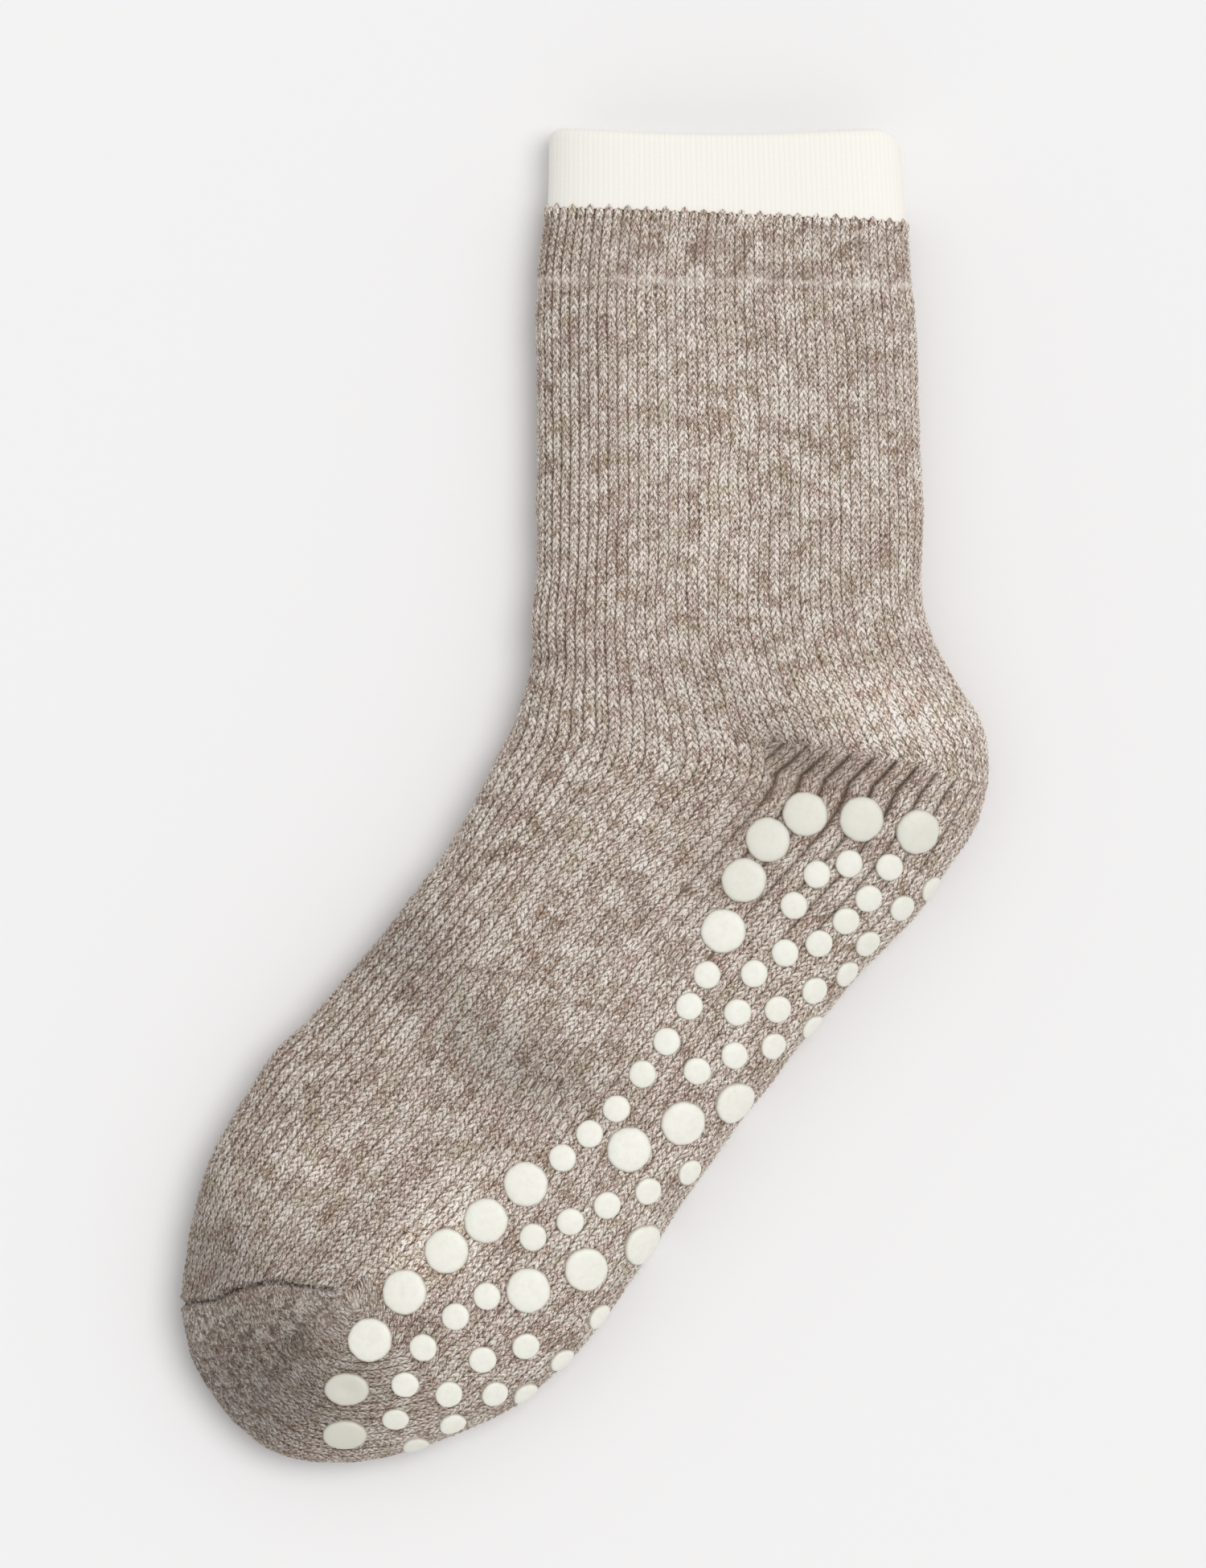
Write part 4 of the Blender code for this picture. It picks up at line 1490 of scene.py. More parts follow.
@dataclass(frozen=True)
class CreamYarn:
    """The ribbed cream of the cuff."""

    light: tuple = srgb(243, 240, 233)
    shade: tuple = srgb(218, 211, 199)
    fine: float = 1.8  # ribs for each column of the loft
    blunt: float = 0.6
    leg_floor: float = 0.65
    hair: Grain = Grain(1.6, 3.0, 0.7)
    bump: tuple[float, float] = (0.3, 0.00012)
    hair_fine: float = 6.0
    hair_long: float = 2.0
    groove_span: Span = Span(0.6, 0.1)
    groove_share: float = 0.24
    hair_span: Span = Span(0.5, 0.3)
    hair_share: float = 0.22
    hair_relief: float = 0.4

    def build(self) -> Material:
        """The finish, laid out in ribs by the piece's own UV.

        Returns:
            The material.
        """
        shine = {"Roughness": 0.9, "Specular IOR Level": 0.2, "Sheen Weight": 0.2}
        material, m, shader = new_finish("cream yarn", shine)
        w, c = m.stitches()
        w = m.times(w, self.fine)
        ridge = m.wave("SINE", w, 1.0, self.blunt)
        x = m.do("ABSOLUTE", m.do("SUBTRACT", m.times(m.do("FRACT", w), 2.0), 1.0))
        y = m.do("SUBTRACT", c, m.times(x, LEAN))
        leg = m.line(m.wave("SINE", y, 1.0, 1.0), 1 - self.leg_floor, self.leg_floor)
        relief = m.times(ridge, leg)
        fine, long = m.times(w, self.hair_fine), m.times(c, self.hair_long)
        hair = m.noise(m.vector(fine, long), *self.hair)
        body = m.tint(self.light, self.shade, m.remap(relief, *self.groove_span), self.groove_share)
        body = m.tint(body, self.shade, m.remap(hair, *self.hair_span), self.hair_share)
        m.put(shader.inputs["Base Color"], body)
        m.bump(shader, m.plus(relief, m.times(hair, self.hair_relief)), *self.bump)
        return material


@dataclass(frozen=True)
class GripPrint:
    """The cream print of the dots, with painted contact shade at the rim and painted shade on the dots of
    heel and toe.
    """

    colour: tuple = srgb(235, 234, 224)
    mottled: tuple = srgb(218, 215, 203)
    # painted shade on the heel's and the toe's last dots
    painted_light: tuple = srgb(202, 199, 187)
    # painted contact shade at the dots' rims
    rim: tuple = srgb(140, 127, 110)
    mottle: Grain = Grain(700.0, 3.0, 0.6)
    mottle_span: Span = Span(0.35, 0.75)
    mottle_share: float = 0.35
    dot_shade_share: float = 0.80
    rim_shade_share: float = 0.60
    pores: Grain = Grain(650.0, 3.0, 0.5)
    bump: tuple[float, float] = (0.35, 0.0002)

    def build(self) -> Material:
        """A satin finish with the faintest unevenness.

        Returns:
            The material.
        """
        shine = {
            "Roughness": 0.42,
            "Specular IOR Level": 0.45,
            "Subsurface Weight": 0.15,
            "Subsurface Radius": (0.0012, 0.001, 0.0008),
            "Subsurface Scale": 1.0,
        }
        material, m, shader = new_finish("grip print", shine)
        at = m.place()
        mottle = m.remap(m.noise(at, *self.mottle), *self.mottle_span)
        body = m.tint(self.colour, self.mottled, mottle, self.mottle_share)
        # Painted shade on the dots of heel and toe, and painted contact shade at their rims
        body = m.tint(body, self.painted_light, m.value("painted_light"), self.dot_shade_share)
        body = m.tint(body, self.rim, m.value("rim"), self.rim_shade_share)
        m.put(shader.inputs["Base Color"], body)
        m.bump(shader, m.noise(at, *self.pores), *self.bump)
        return material


@dataclass(frozen=True)
class LooseFibre:
    """Single pale fibres that stand off the yarn."""

    dull: tuple = srgb(196, 182, 168)
    pale: tuple = srgb(232, 224, 214)
    grain: Grain = Grain(400.0, 2.0, 0.5)

    def build(self) -> Material:
        """A thin pale finish.

        Returns:
            The material.
        """
        material, m, shader = new_finish("loose fibre", {"Roughness": 0.8, "Specular IOR Level": 0.2})
        m.put(shader.inputs["Base Color"], m.blend(m.noise(m.place(), *self.grain), self.dull, self.pale))
        return material


@dataclass
class SockBody:
    """Leg, heel, foot and toe, as four lengths of one tube."""

    knit: Knit
    yarn: Material
    cuts: tuple[float, ...] = (7.6, 13.6, 18.0)  # in rows of the table
    names: tuple[str, ...] = ("knit_leg", "knit_heel", "knit_foot", "knit_toe")
    inner_step: int = 8
    tip_rise: float = 0.0003

    def build(self) -> list[Object]:
        """The four pieces.

        Returns:
            Leg, heel, foot and toe.
        """
        rows = len(self.knit.distance)
        marks = [int(np.searchsorted(self.knit.distance, self.knit.loft.row_distance(c))) for c in self.cuts]
        marks = [0, *(m - m % self.inner_step for m in marks), rows - 1]
        made = []
        for name, low, high in zip(self.names, marks, marks[1:]):
            made.append(self._length(name, low, high, last=high == rows - 1))
        return made

    def _length(self, name: str, low: int, high: int, last: bool) -> Object:
        """One length of the tube, closed at its ends.

        Args:
            name: the piece's name.
            low: first row.
            high: last row.
            last: whether the tip of the toe closes it.

        Returns:
            The finished piece.
        """
        k = self.knit
        columns = k.points.shape[1]
        outer = k.points[low : high + 1]
        picks = np.unique(np.append(np.arange(low, high + 1, self.inner_step), high))
        inner = k.inner[picks]
        n_out, n_in = len(outer), len(picks)
        points = [outer.reshape(-1, 3), inner.reshape(-1, 3)]
        faces = [quads(n_out, columns), quads(n_in, columns, start=n_out * columns, flip=True)]
        ring = np.arange(columns)
        nxt = (ring + 1) % columns
        base = n_out * columns
        faces.append(np.stack([nxt, ring, base + ring, base + nxt], axis=-1))
        end_out, end_in = (n_out - 1) * columns, base + (n_in - 1) * columns
        normals = [k.normals[low : high + 1].reshape(-1, 3), -k.normals[picks].reshape(-1, 3)]
        fields = {n: [m[low : high + 1].ravel(), m[picks].ravel()] for n, m in self._values().items()}
        if last:
            tip_out, tip_in = outer[-1].mean(axis=0), inner[-1].mean(axis=0)
            way = unit(tip_out - outer[-8].mean(axis=0))
            points.append(np.array([tip_out + way * self.tip_rise, tip_in]))
            top = base + n_in * columns
            faces.append(np.stack([end_out + ring, end_out + nxt, np.full(columns, top)], axis=-1))
            faces.append(np.stack([end_in + nxt, end_in + ring, np.full(columns, top + 1)], axis=-1))
            normals.append(np.array([way, -way]))
            for parts in fields.values():
                parts.append(np.array([parts[0][-1], parts[1][-1]]))
        else:
            faces.append(np.stack([end_out + ring, end_out + nxt, end_in + nxt, end_in + ring], axis=-1))
        mesh = new_mesh(name, np.concatenate(points), faces)
        joined = {n: np.concatenate(parts) for n, parts in fields.items()}
        outside = k.stitches.corners(np.arange(low, high + 1))
        inside = k.stitches.corners(picks)[:, ::-1]
        own = np.concatenate([outside, inside]).reshape(-1, 3)
        add_uv(mesh, np.stack([joined.pop("wale"), joined.pop("course")], axis=-1), own[:, :2])
        bend = np.zeros(len(mesh.loops), dtype=np.float32)
        bend[: len(own)] = own[:, 2]
        mesh.attributes.new("bend", "FLOAT", "CORNER").data.foreach_set("value", bend)
        for field_name, values in joined.items():
            add_value(mesh, field_name, values)
        mesh.normals_split_custom_set_from_vertices(np.concatenate(normals).tolist())
        return new_object(name, mesh, self.yarn)

    def _values(self) -> dict[str, Array]:
        """What the finish reads, by name."""
        k = self.knit
        return {"wale": k.wale, "course": k.course, **k.masks}


@dataclass
class TurnedCuff:
    """The double ribbed cuff."""

    loft: Loft
    yarn: Material
    per_wale: int = 4
    outer_rows: int = 44
    fold_rows: int = 13
    inner_rows: int = 40
    relief: float = 0.00005
    ribs: float = 0.9  # raised ribs for each column of the loft
    rib_blunt: float = 0.7
    rib_level: float = 0.8
    corners: tuple[float, float] = (0.0012, 0.0042)  # rounding of the rim's left and right ends
    corner_most: float = 0.96
    corner_span: Span = Span(0.45, 1.0)  # of the height over the cuff's foot

    def _profile(self, foot: float, hem: float) -> Array:
        """The cuff's closed section: down from the collar and inwards.

        Args:
            foot: where the outer leaf ends.
            hem: where the inner leaf ends.

        Returns:
            Two numbers for each corner.
        """
        depth = WALL + FIT_GAP + CUFF_LEAF
        fold = 0.5 * depth
        turn = np.linspace(0, math.pi, self.fold_rows)[1:-1]
        rows = [(d, 0.0) for d in np.linspace(foot, fold, self.outer_rows)]
        rows += [(fold - fold * math.sin(a), fold - fold * math.cos(a)) for a in turn]
        rows += [(d, depth) for d in np.linspace(fold, hem, self.inner_rows)]
        return np.array([*rows, (hem, WALL + FIT_GAP), (foot, WALL + FIT_GAP)])

    def build(self) -> Object:
        """The cuff: outer leaf, fold at the rim and inner leaf, closed at its hem.

        Returns:
            The finished piece.
        """
        foot, hem = self.loft.stops[1] - FIT_GAP, self.loft.stops[1] + CUFF_HEM
        profile = self._profile(foot, hem)
        distance, inset = profile.T
        rows, columns = len(distance), HALF_WALES * self.per_wale
        share = np.broadcast_to(np.linspace(0, 1, columns + 1), (rows, columns + 1))
        upper, under = self.loft.sides(distance)
        ring = round_ring(upper.points(share), under.points(share))
        wale = round_ring(share, share) * HALF_WALES
        around = unit(np.roll(ring, -1, axis=1) - np.roll(ring, 1, axis=1))
        normal = unit(np.cross(np.array([0.0, -1.0, 0.0]), around))
        if float(normal[:, : columns // 2, 2].mean()) < 0:
            normal = -normal
        ring = ring - normal * inset[:, None, None]
        level = 1 - np.minimum(distance / foot, 1.0)
        x = ring[..., 0]
        middle = 0.5 * (x.max(axis=1) + x.min(axis=1))[:, None]
        half = 0.5 * (x.max(axis=1) - x.min(axis=1))[:, None]
        ring[..., 1] -= CUFF_DIP * level[:, None] * (1 - np.minimum(((x - middle) / half) ** 2, 1.0))
        for end, radius in zip((-1, 1), self.corners):
            t = np.clip(((x - middle) * end - (half - radius)) / radius, 0, self.corner_most)
            ring[..., 1] -= radius * (1 - np.sqrt(1 - t**2)) * smooth(level, *self.corner_span)[:, None]
        outward = np.where(np.arange(rows) < self.outer_rows + self.fold_rows // 2, 1.0, -1.0)[:, None]
        ridge = np.abs(np.sin(self.ribs * math.pi * wale)) ** self.rib_blunt - self.rib_level
        ring = ring + normal * (self.relief * ridge * outward)[..., None]
        ring[..., 2] = np.maximum(ring[..., 2], FLOOR_GAP)
        faces = quads(rows + 1, ring.shape[1], flip=True) % (rows * ring.shape[1])
        mesh = new_mesh("ribbed_cuff", ring.reshape(-1, 3), [faces])
        run = np.concatenate([[0], np.cumsum(np.linalg.norm(np.diff(profile, axis=0), axis=1))])
        course = np.broadcast_to((run / COURSE)[:, None], wale.shape)
        add_uv(mesh, np.stack([wale, course], axis=-1).reshape(-1, 2))
        return new_object("ribbed_cuff", mesh, self.yarn)


@dataclass
class CollarStitches:
    """The last beige stitches, whose rounded tops poke into the cream."""

    loft: Loft
    yarn: Material
    wide: float = 0.00098
    down: float = 0.0016
    reach: tuple[float, float] = (0.0015, 0.0009)  # of every other one
    uneven: tuple[float, float] = (0.85, 1.15)
    thick: float = 0.00050
    slim: float = 0.22  # how much narrower a top is at its upper end
    raised: float = 0.00022
    ends_raised: float = 0.0002
    clear: float = 0.00030  # how far their middles stay over the floor
    lowest: float = 0.00003
    seam_off: float = 0.05  # a distance at which the toe seam doesn't show
    around: int = 10
    rings: int = 6

    def build(self) -> Object:
        """All the tops as one piece.

        Returns:
            The finished piece.
        """
        distance = self.loft.stops[1] + np.array([-0.001, 0.0002, 0.001])
        share = np.broadcast_to((np.arange(HALF_WALES) + 0.5) / HALF_WALES, (3, HALF_WALES))
        made, uv, faces = [], [], []
        rng = np.random.default_rng(4)
        for side, flip in zip(self.loft.sides(distance), (1, -1)):
            seats = side.points(share)
            across = unit(np.gradient(seats[1], axis=0))
            up = unit(seats[0] - seats[2])
            normal = unit(np.cross(across, up)) * flip
            normal *= np.sign((normal[:, 2] * flip).sum()) or 1
            for k, seat in enumerate(seats[1]):
                start = len(made) * (self.around * (self.rings - 1) + 2)
                reach = self.reach[k % 2] * rng.uniform(*self.uneven)
                lift = max(self.clear - self.raised * normal[k, 2] - seat[2], 0.0)
                top = self._top(seat + np.array([0.0, 0.0, lift]), across[k], up[k], normal[k], reach)
                turned = float(np.dot(np.cross(across[k], up[k]), normal[k])) > 0
                local = top - seat
                made.append(top)
                faces.append(self._faces(start, turned))
                wale, course = k + 0.5 + (local @ across[k]) / WALE, 0.4 - (local @ up[k]) / COURSE
                uv.append(np.stack([wale, course], axis=-1))
        points = np.concatenate(made)
        points[:, 2] = np.maximum(points[:, 2], self.lowest)
        mesh = new_mesh("collar_stitches", points, [np.concatenate(kind) for kind in zip(*faces)])
        add_uv(mesh, np.concatenate(uv))
        for name in ("ribs", "pocket", "edge", "hem", "foot", "tone", "bend", "deep_ribs", "band"):
            add_value(mesh, name, np.zeros(len(points)))
        add_value(mesh, "seam", np.full(len(points), self.seam_off))
        return new_object("collar_stitches", mesh, self.yarn)

    def _top(
        self, seat: Array, across: Array, up: Array, normal: Array, reach: float
    ) -> Array:
        """One rounded top: a slim egg that lies on the knit.

        Args:
            seat: its middle.
            across: the way across it.
            up: the way that it points.
            normal: the knit's normal.
            reach: how far it pokes out.

        Returns:
            Its rings of points, then its two ends.
        """
        level = np.linspace(-1, 1, self.rings + 1)[1:-1]
        turn = np.arange(self.around) * 2 * math.pi / self.around
        wide = (np.sqrt(1 - level**2) * (1 - self.slim * level))[:, None]
        long = np.where(level > 0, level * reach, level * self.down)
        body = seat + up * long[:, None, None] + across * (self.wide * wide * np.cos(turn))[..., None]
        body = body + normal * (self.thick * wide * np.sin(turn) + self.raised)[..., None]
        ends = np.array([seat - up * self.down, seat + up * reach]) + normal * self.ends_raised
        return np.concatenate([body.reshape(-1, 3), ends])

    def _faces(self, start: int, turned: bool) -> tuple[Array, Array]:
        """The faces of one top.

        Args:
            start: number of its first point.
            turned: turns the faces over.

        Returns:
            Quads and end triangles.
        """
        four = quads(self.rings - 1, self.around, start=start, flip=turned)
        ring = np.arange(self.around)
        nxt = (ring + 1) % self.around
        last = start + self.around * (self.rings - 2)
        low, high = (np.full(self.around, last + self.around + end) for end in (0, 1))
        three = [
            np.stack([start + nxt, start + ring, low], axis=-1),
            np.stack([last + ring, last + nxt, high], axis=-1),
        ]
        three = np.concatenate(three)
        return four, three[:, ::-1] if turned else three


@dataclass(frozen=True)
class Fuzz:
    """Short loose fibres over the knit, scattered by Geometry Nodes."""

    fibre: Material
    density: float = 290000.0  # fibres on a square metre
    seed: int = 7
    length: float = 0.0020
    thickness: float = 0.000045
    lowest: float = 0.00012  # over the floor
    curl: float = 0.0006
    curl_scale: float = 700.0
    lean: tuple[tuple, tuple] = ((0.75, -0.3, 0.0), (1.5, 0.3, 6.283))  # least and most
    stretch: tuple[tuple, tuple] = ((1.0, 1.0, 0.35), (1.0, 1.0, 1.25))
    every: tuple[int, int] = (6, 3)  # which rows and columns of the knit's grid carry them

    def build(self, knit: Knit) -> Object:
        """The fibres as one plain mesh.

        Args:
            knit: the knitted tube.

        Returns:
            The finished piece.
        """
        coarse = knit.points[:: self.every[0], :: self.every[1]]
        mesh = new_mesh("loose_fibres", coarse.reshape(-1, 3), [quads(len(coarse), coarse.shape[1])])
        piece = new_object("loose_fibres", mesh, self.fibre)
        tree = self._tree()
        scatter = piece.modifiers.new("scatter", "NODES")
        scatter.node_group = tree
        wanted = {
            "Density": self.density, "Seed": self.seed, "Length": self.length, "Thickness": self.thickness,
        }
        for item in tree.interface.items_tree:
            if item.name in wanted:
                scatter[item.identifier] = wanted[item.name]
        view = bpy.context.evaluated_depsgraph_get()
        plain = bpy.data.meshes.new_from_object(piece.evaluated_get(view))
        piece.modifiers.clear()
        piece.data = plain
        return piece

    def _tree(self) -> bpy.types.NodeTree:
        """Points on the faces, a thin leaning cone on each, made real.

        Returns:
            The node tree.
        """
        tree = bpy.data.node_groups.new("loose fibres", "GeometryNodeTree")
        kinds = {"Geometry": "Geometry", "Seed": "Int", "Density": "Float"}
        kinds |= {"Length": "Float", "Thickness": "Float"}
        for name, kind in kinds.items():
            tree.interface.new_socket(name, in_out="INPUT", socket_type=f"NodeSocket{kind}")
        tree.interface.new_socket("Geometry", in_out="OUTPUT", socket_type="NodeSocketGeometry")
        m = Maths(tree)
        given = m.node("NodeGroupInput").outputs
        inputs = {"Mesh": given["Geometry"], "Density": given["Density"], "Seed": given["Seed"]}
        spread = m.wired(m.node("GeometryNodeDistributePointsOnFaces"), inputs)
        inputs = {"Vertices": 3, "Side Segments": 2, "Radius Top": 0.0}
        inputs |= {"Radius Bottom": given["Thickness"], "Depth": given["Length"]}
        cone = m.wired(m.node("GeometryNodeMeshCone"), inputs)
        lean = m.fed(m.node("FunctionNodeEulerToRotation"), self._random(m, self.lean, given["Seed"]))
        inputs = {"Rotation": spread.outputs["Rotation"], "Rotate By": lean}
        turned = m.wired(m.node("FunctionNodeRotateRotation", rotation_space="LOCAL"), inputs)
        inputs = {"Points": spread.outputs["Points"], "Instance": cone.outputs["Mesh"]}
        inputs |= {"Rotation": turned.outputs[0], "Scale": self._random(m, self.stretch, given["Seed"])}
        put_on = m.wired(m.node("GeometryNodeInstanceOnPoints"), inputs)
        real = m.fed(m.node("GeometryNodeRealizeInstances"), put_on.outputs[0])
        here = m.node("GeometryNodeInputPosition").outputs[0]
        wave = m.wired(m.node("ShaderNodeTexNoise"), {"Scale": self.curl_scale, "Vector": here})
        offset = m.scaled(m.on_vectors("SUBTRACT", wave.outputs["Color"], (0.5, 0.5, 0.5)), self.curl)
        bent = m.wired(m.node("GeometryNodeSetPosition"), {"Geometry": real, "Offset": offset})
        here = m.node("GeometryNodeInputPosition").outputs[0]
        over = m.on_vectors("MAXIMUM", here, (-10.0, -10.0, self.lowest))
        kept = m.wired(m.node("GeometryNodeSetPosition"), {"Geometry": bent.outputs[0], "Position": over})
        inputs = {"Geometry": kept.outputs[0], "Material": self.fibre}
        dressed = m.wired(m.node("GeometryNodeSetMaterial"), inputs)
        m.put(m.node("NodeGroupOutput").inputs[0], dressed.outputs[0])
        return tree

    @staticmethod
    def _random(m: Maths, ends: tuple[tuple, tuple], seed: Socket) -> Socket:
        """A random vector between two corners.

        Args:
            m: the tree's sums.
            ends: the corners.
            seed: the seed.

        Returns:
            The vector.
        """
        made = m.node("FunctionNodeRandomValue", data_type="FLOAT_VECTOR")
        made.inputs[0].default_value, made.inputs[1].default_value = ends
        return m.wired(made, {"Seed": seed}).outputs[0]


SMALL_DOTS = (
    (0.192, 0.248), (0.163, 0.291), (0.140, 0.370), (0.231, 0.252), (0.178, 0.378), (0.210, 0.370),
    (0.164, 0.455), (0.245, 0.354), (0.214, 0.444), (0.274, 0.306), (0.341, 0.196), (0.310, 0.280),
    (0.285, 0.416), (0.323, 0.376), (0.351, 0.307), (0.377, 0.210), (0.355, 0.423), (0.387, 0.365),
    (0.419, 0.221), (0.423, 0.320), (0.460, 0.225), (0.504, 0.229), (0.541, 0.217), (0.577, 0.203),
    (0.508, 0.457), (0.549, 0.408), (0.586, 0.354), (0.622, 0.311), (0.658, 0.266), (0.734, 0.269),
    (0.770, 0.242), (0.815, 0.229), (0.856, 0.251), (0.890, 0.285), (0.749, 0.414), (0.787, 0.355),
    (0.807, 0.429), (0.836, 0.345), (0.858, 0.397),
)
EDGE_DOTS = (
    (0.130, 0.479), (0.251, 0.451), (0.315, 0.465), (0.680, 0.506), (0.738, 0.502), (0.788, 0.485),
    (0.899, 0.361),
)
LARGE_DOTS = {
    "heel": ((0.094, 0.370), (0.120, 0.248), (0.152, 0.138), (0.196, 0.108), (0.243, 0.124), (0.296, 0.161)),
    "ball": ((0.424, 0.439), (0.473, 0.372), (0.528, 0.312)),
    "border": (
        (0.621, 0.175), (0.675, 0.156), (0.724, 0.129), (0.783, 0.113), (0.843, 0.121), (0.897, 0.152),
        (0.935, 0.216),
    ),
    "toe": ((0.595, 0.480), (0.650, 0.411), (0.703, 0.336)),
}


def covered_dots() -> list[str]:
    """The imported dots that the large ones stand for.

    Returns:
        Their names.
    """
    return [
        f"grip_dot_{group}_{side}_{number}"
        for group, dots in LARGE_DOTS.items()
        for side in ("upper", "under")
        for number in range(1, len(dots) + 1)
    ]


@dataclass
class GripDots:
    """The printed dots, domed and following the knit."""

    surface: BVHTree
    finish: Material
    shift: Array
    segments: int = 28
    profile: tuple[tuple[float, float], ...] = (
        (1.0, -0.35), (1.015, 0.10), (1.0, 0.38), (0.96, 0.62), (0.88, 0.80), (0.74, 0.92), (0.52, 0.98),
        (0.26, 1.0),
    )
    ripples: tuple[tuple[int, float], ...] = ((2, 0.014), (5, 0.010), (11, 0.012))  # waves around, height
    rims: tuple[float, ...] = (1.0, 1.0, 1.0, 0.30)  # how much painted contact shade the first rings get
    small_rise: float = 0.8
    small_dot_shade: float = 0.3
    slim: float = 0.34  # how much narrower the last ones are, up and down the photo
    slim_span: Span = Span(0.83, 0.93)  # along the foot
    dent: float = 0.45  # how far the dented one's middle has sunk, as a share of its height
    dent_wide: float = 0.45
    dented: tuple[float, float] = (0.897, 0.015)  # its place along the foot, and how near counts
    # painted shade on the heel's dots, fading along the foot, and on the toe's last dots
    heel_dot_shade: float = 0.55
    heel_span: Span = Span(0.20, 0.32)
    toe_span: Span = Span(0.86, 0.90)
    above: float = 0.05  # from where the rays are cast
    farthest: float = 0.6  # in radii, how far a point may slide off
    depth: float = 0.0003  # of the underside's middle

    def build(self) -> list[Object]:
        """The large dots and the small ones, each kind as one piece.

        Returns:
            The two pieces, large ones first.
        """
        large = [dot for group in LARGE_DOTS.values() for dot in group]
        both, rise = (-1.0, 1.0), self.small_rise * DOT_RISE
        big = self._domes(large, both, DOT_RADIUS, DOT_RISE)
        small = self._domes(SMALL_DOTS, both, SMALL_DOT_RADIUS, rise)
        small += self._domes(EDGE_DOTS, (-1.0,), SMALL_DOT_RADIUS, rise)
        return [self._joined("large_dots", big), self._joined("small_dots", small)]

    def _domes(self, dots: Sequence[tuple], sides: Sequence[float], radius: float, rise: float) -> list:
        """Domes of one size.

        Args:
            dots: shares of foot length and ball depth.
            sides: -1 for the side seen from above, 1 for the one on the floor.
            radius: their radius.
            rise: their height.

        Returns:
            Points and painted shade of each.
        """
        rng = np.random.default_rng(11)
        is_large = radius == DOT_RADIUS
        made = []
        for along, aside in dots:
            x, y = place(Part.FOOT, along, aside) + self.shift
            slim = 1 - self.slim * float(smooth(along, *self.slim_span))
            dent = self.dent * math.exp(-(((along - self.dented[0]) / self.dented[1]) ** 2)) * is_large
            # Painted shade on the heel's dots and the toe's last ones
            painted_light = self.heel_dot_shade * (1 - smooth(along, *self.heel_span)) + smooth(along, *self.toe_span)
            for down in sides:
                start = Vector((x, y, -self.above * down))
                centre, normal, _, _ = self.surface.ray_cast(start, Vector((0, 0, down)))
                phases = rng.uniform(0, PHASES, len(self.ripples))
                points = self._dome((centre, normal), (radius, rise), phases, slim, dent)
                made.append((points, float(painted_light) * (1.0 if is_large else self.small_dot_shade)))
        return made

    def _dome(
        self,
        seat: tuple[Vector, Vector],
        size: tuple[float, float],
        phases: Array,
        slim: float,
        dent: float,
    ) -> Array:
        """One dome on the knit.

        Args:
            seat: its middle on the knit, and the knit's normal there.
            size: its radius and height.
            phases: where its ripples start.
            slim: how much of its radius is left up and down the photo.
            dent: how far its middle has sunk, as a share of its height.

        Returns:
            Its rings of points, its top and the middle of its underside.
        """
        (centre, normal), (radius, rise) = seat, size
        side = normal.orthogonal().normalized()
        other = normal.cross(side)
        turns = [2 * math.pi * k / self.segments for k in range(self.segments)]
        spots = [(share, height, a) for share, height in self.profile for a in turns]
        points = []
        for share, height, a in [*spots, (0.0, 1.0, 0.0)]:
            ripple = sum(h * math.sin(n * a + phase) for (n, h), phase in zip(self.ripples, phases))
            r = radius * share * (1 + ripple)
            out = side * (math.cos(a) * r) + other * (math.sin(a) * r)
            out.y *= slim
            reach = centre + out
            hit, slant, _, _ = self.surface.ray_cast(reach + normal * radius, -normal)
            if hit is None or (hit - reach).length > self.farthest * radius:
                hit, slant, _, _ = self.surface.find_nearest(reach)
            sunk = 1 - dent * math.exp(-((share / self.dent_wide) ** 2))
            points.append(hit + (slant + normal).normalized() * (rise * height * sunk))
        points.append(centre - normal * self.depth)
        return np.array([(p.x, p.y, max(p.z, 0.0)) for p in points])

    def _joined(self, name: str, domes: Sequence[tuple]) -> Object:
        """Many domes as one piece.

        Args:
            name: the piece's name.
            domes: points and painted shade of each.

        Returns:
            The finished piece.
        """
        ring = np.arange(self.segments)
        nxt = (ring + 1) % self.segments
        last = (len(self.profile) - 1) * self.segments
        top, under = (np.full(self.segments, last + self.segments + end) for end in (0, 1))
        caps = np.stack([last + ring, last + nxt, top], axis=-1)
        floor = np.stack([nxt, ring, under], axis=-1)
        size = last + self.segments + 2
        starts = (np.arange(len(domes)) * size)[:, None, None]
        kinds = (quads(len(self.profile), self.segments), np.concatenate([caps, floor]))
        faces = [(kind + starts).reshape(-1, kind.shape[1]) for kind in kinds]
        mesh = new_mesh(name, np.concatenate([points for points, _ in domes]), faces)
        # painted contact shade at each dot's rim
        rim = np.zeros(size)
        rim[: len(self.rims) * self.segments] = np.repeat(self.rims, self.segments)
        rim[-1] = self.rims[0]
        add_value(mesh, "painted_light", np.repeat([painted_light for _, painted_light in domes], size))
        add_value(mesh, "rim", np.tile(rim, len(domes)))
        return new_object(name, mesh, self.finish)


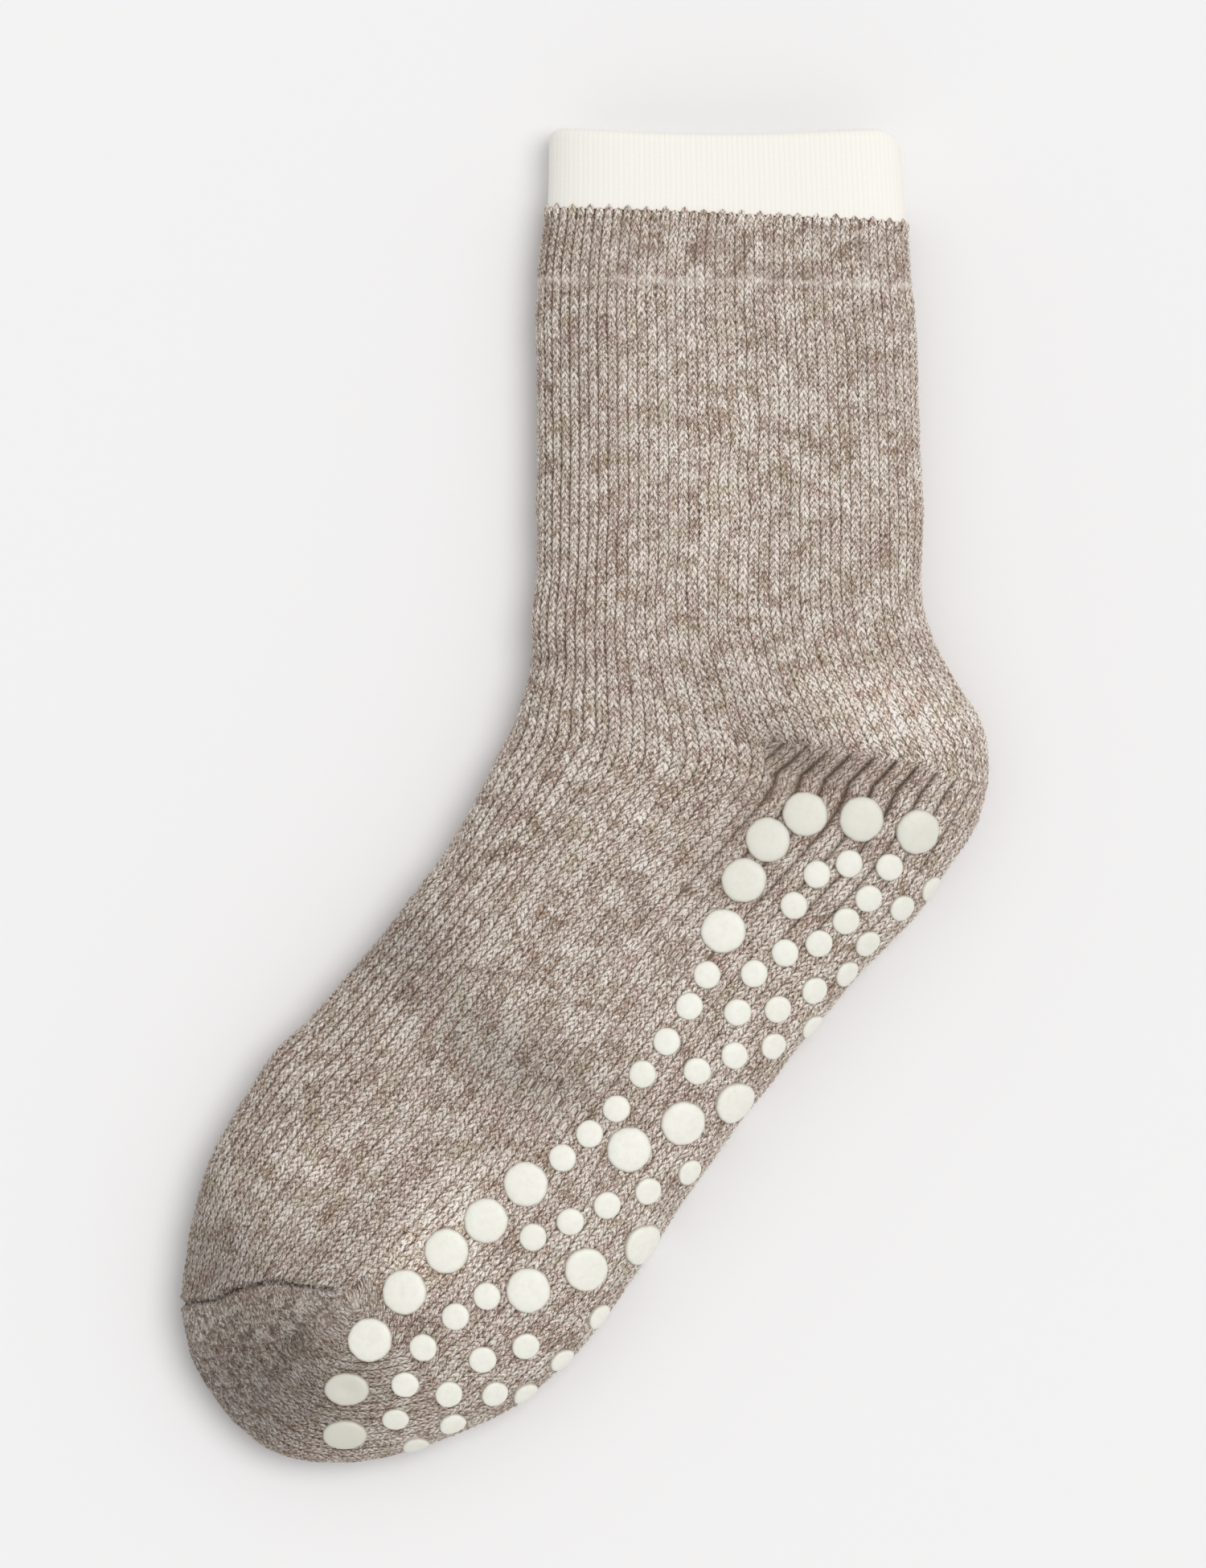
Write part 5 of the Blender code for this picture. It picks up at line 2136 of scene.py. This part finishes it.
@dataclass
class Studio:
    """Pale floor, soft light and the camera straight above."""

    centre: tuple[float, float] = (0.00387, 0.00243)
    tall: float = 0.351  # how much the camera sees
    level: float = 0.012  # at this height
    height: float = 2.2
    film: float = 36.0  # in millimetres
    far: float = 20.0
    floor_half: float = 3.0
    floor_colour: tuple[int, int, int] = (238, 237, 237)
    floor_finish: tuple[float, float] = (0.8, 0.1)  # roughness and shine
    dome: float = 0.66
    sun: float = 1.33
    sun_angle: float = 36.0  # in degrees
    sun_from: tuple[float, float, float] = (0.36, 0.17, 1.0)

    def build(self) -> None:
        """Floor, lights and camera."""
        self._floor()
        self._lights()
        self._camera()

    def _floor(self) -> None:
        """A wide pale floor."""
        corners = np.array([(-1, -1, 0), (1, -1, 0), (1, 1, 0), (-1, 1, 0)]) * self.floor_half
        mesh = new_mesh("floor", corners, [np.array([[0, 1, 2, 3]])])
        material = bpy.data.materials.new("pale floor")
        material.use_nodes = True
        shader = material.node_tree.nodes["Principled BSDF"]
        shader.inputs["Base Color"].default_value = srgb(*self.floor_colour)
        rough, shine = self.floor_finish
        shader.inputs["Roughness"].default_value = rough
        shader.inputs["Specular IOR Level"].default_value = shine
        new_object("floor", mesh, material)

    def _lights(self) -> None:
        """A soft dome and one soft key from the upper right."""
        scene = bpy.context.scene
        world = bpy.data.worlds.new("studio")
        scene.world = world
        world.use_nodes = True
        background = world.node_tree.nodes["Background"]
        background.inputs["Color"].default_value = (1.0, 1.0, 1.0, 1)
        background.inputs["Strength"].default_value = self.dome
        light = bpy.data.lights.new("key", "SUN")
        light.energy, light.angle = self.sun, math.radians(self.sun_angle)
        holder = bpy.data.objects.new("key", light)
        holder.location = (0.5, 0.3, 1.0)
        holder.rotation_euler = (-Vector(self.sun_from)).to_track_quat("-Z", "Y").to_euler()
        scene.collection.objects.link(holder)
        scene.view_settings.view_transform = "Standard"

    def _camera(self) -> None:
        """A long lens straight above, with the photo's field."""
        data = bpy.data.cameras.new("camera")
        data.sensor_fit = "VERTICAL"
        data.sensor_height = self.film
        data.lens = self.film * (self.height - self.level) / self.tall
        data.clip_end = self.far
        camera = bpy.data.objects.new("camera", data)
        camera.location = (*self.centre, self.height)
        bpy.context.scene.collection.objects.link(camera)
        bpy.context.scene.camera = camera


def find_shift() -> Array:
    """How far the loft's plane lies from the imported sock.

    Returns:
        The shift as two numbers.
    """
    low, high = (np.array(v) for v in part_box("knitted_sock"))
    loft = Loft(SECTIONS, np.zeros(2))
    r = loft.at(np.linspace(loft.stops[1], loft.stops[-1], 600))
    x = np.concatenate([r[:, 0], r[:, 2]])
    return np.array([0.5 * (low[0] + high[0]) - 0.5 * (x.min() + x.max()), high[1] - r[0, 1]])


def main() -> None:
    """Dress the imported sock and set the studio."""
    logging.basicConfig(level=logging.INFO)
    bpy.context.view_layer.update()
    shift = find_shift()
    loft = Loft(SECTIONS, shift)
    knit = Knit(loft)
    log.info("knit grid %s", knit.points.shape)
    heather, cream, grip = HeatherYarn().build(), CreamYarn().build(), GripPrint().build()
    for piece in SockBody(knit, heather).build():
        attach(piece, "root")
        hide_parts("knitted_sock")
    cuff = TurnedCuff(loft, cream).build()
    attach(cuff, "root")
    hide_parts("turned_cuff")
    for piece in (CollarStitches(loft, heather).build(), Fuzz(LooseFibre().build()).build(knit)):
        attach(piece, "root")
    coarse = knit.base[::3]
    faces = quads(len(coarse), coarse.shape[1])
    surface = BVHTree.FromPolygons(coarse.reshape(-1, 3).tolist(), faces.tolist())
    dots = GripDots(surface, grip, shift).build()
    sides = covered_dots()
    for piece in dots:
        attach(piece, "root")
    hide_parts(*sides)
    Studio().build()


if __name__ == "__main__":
    main()
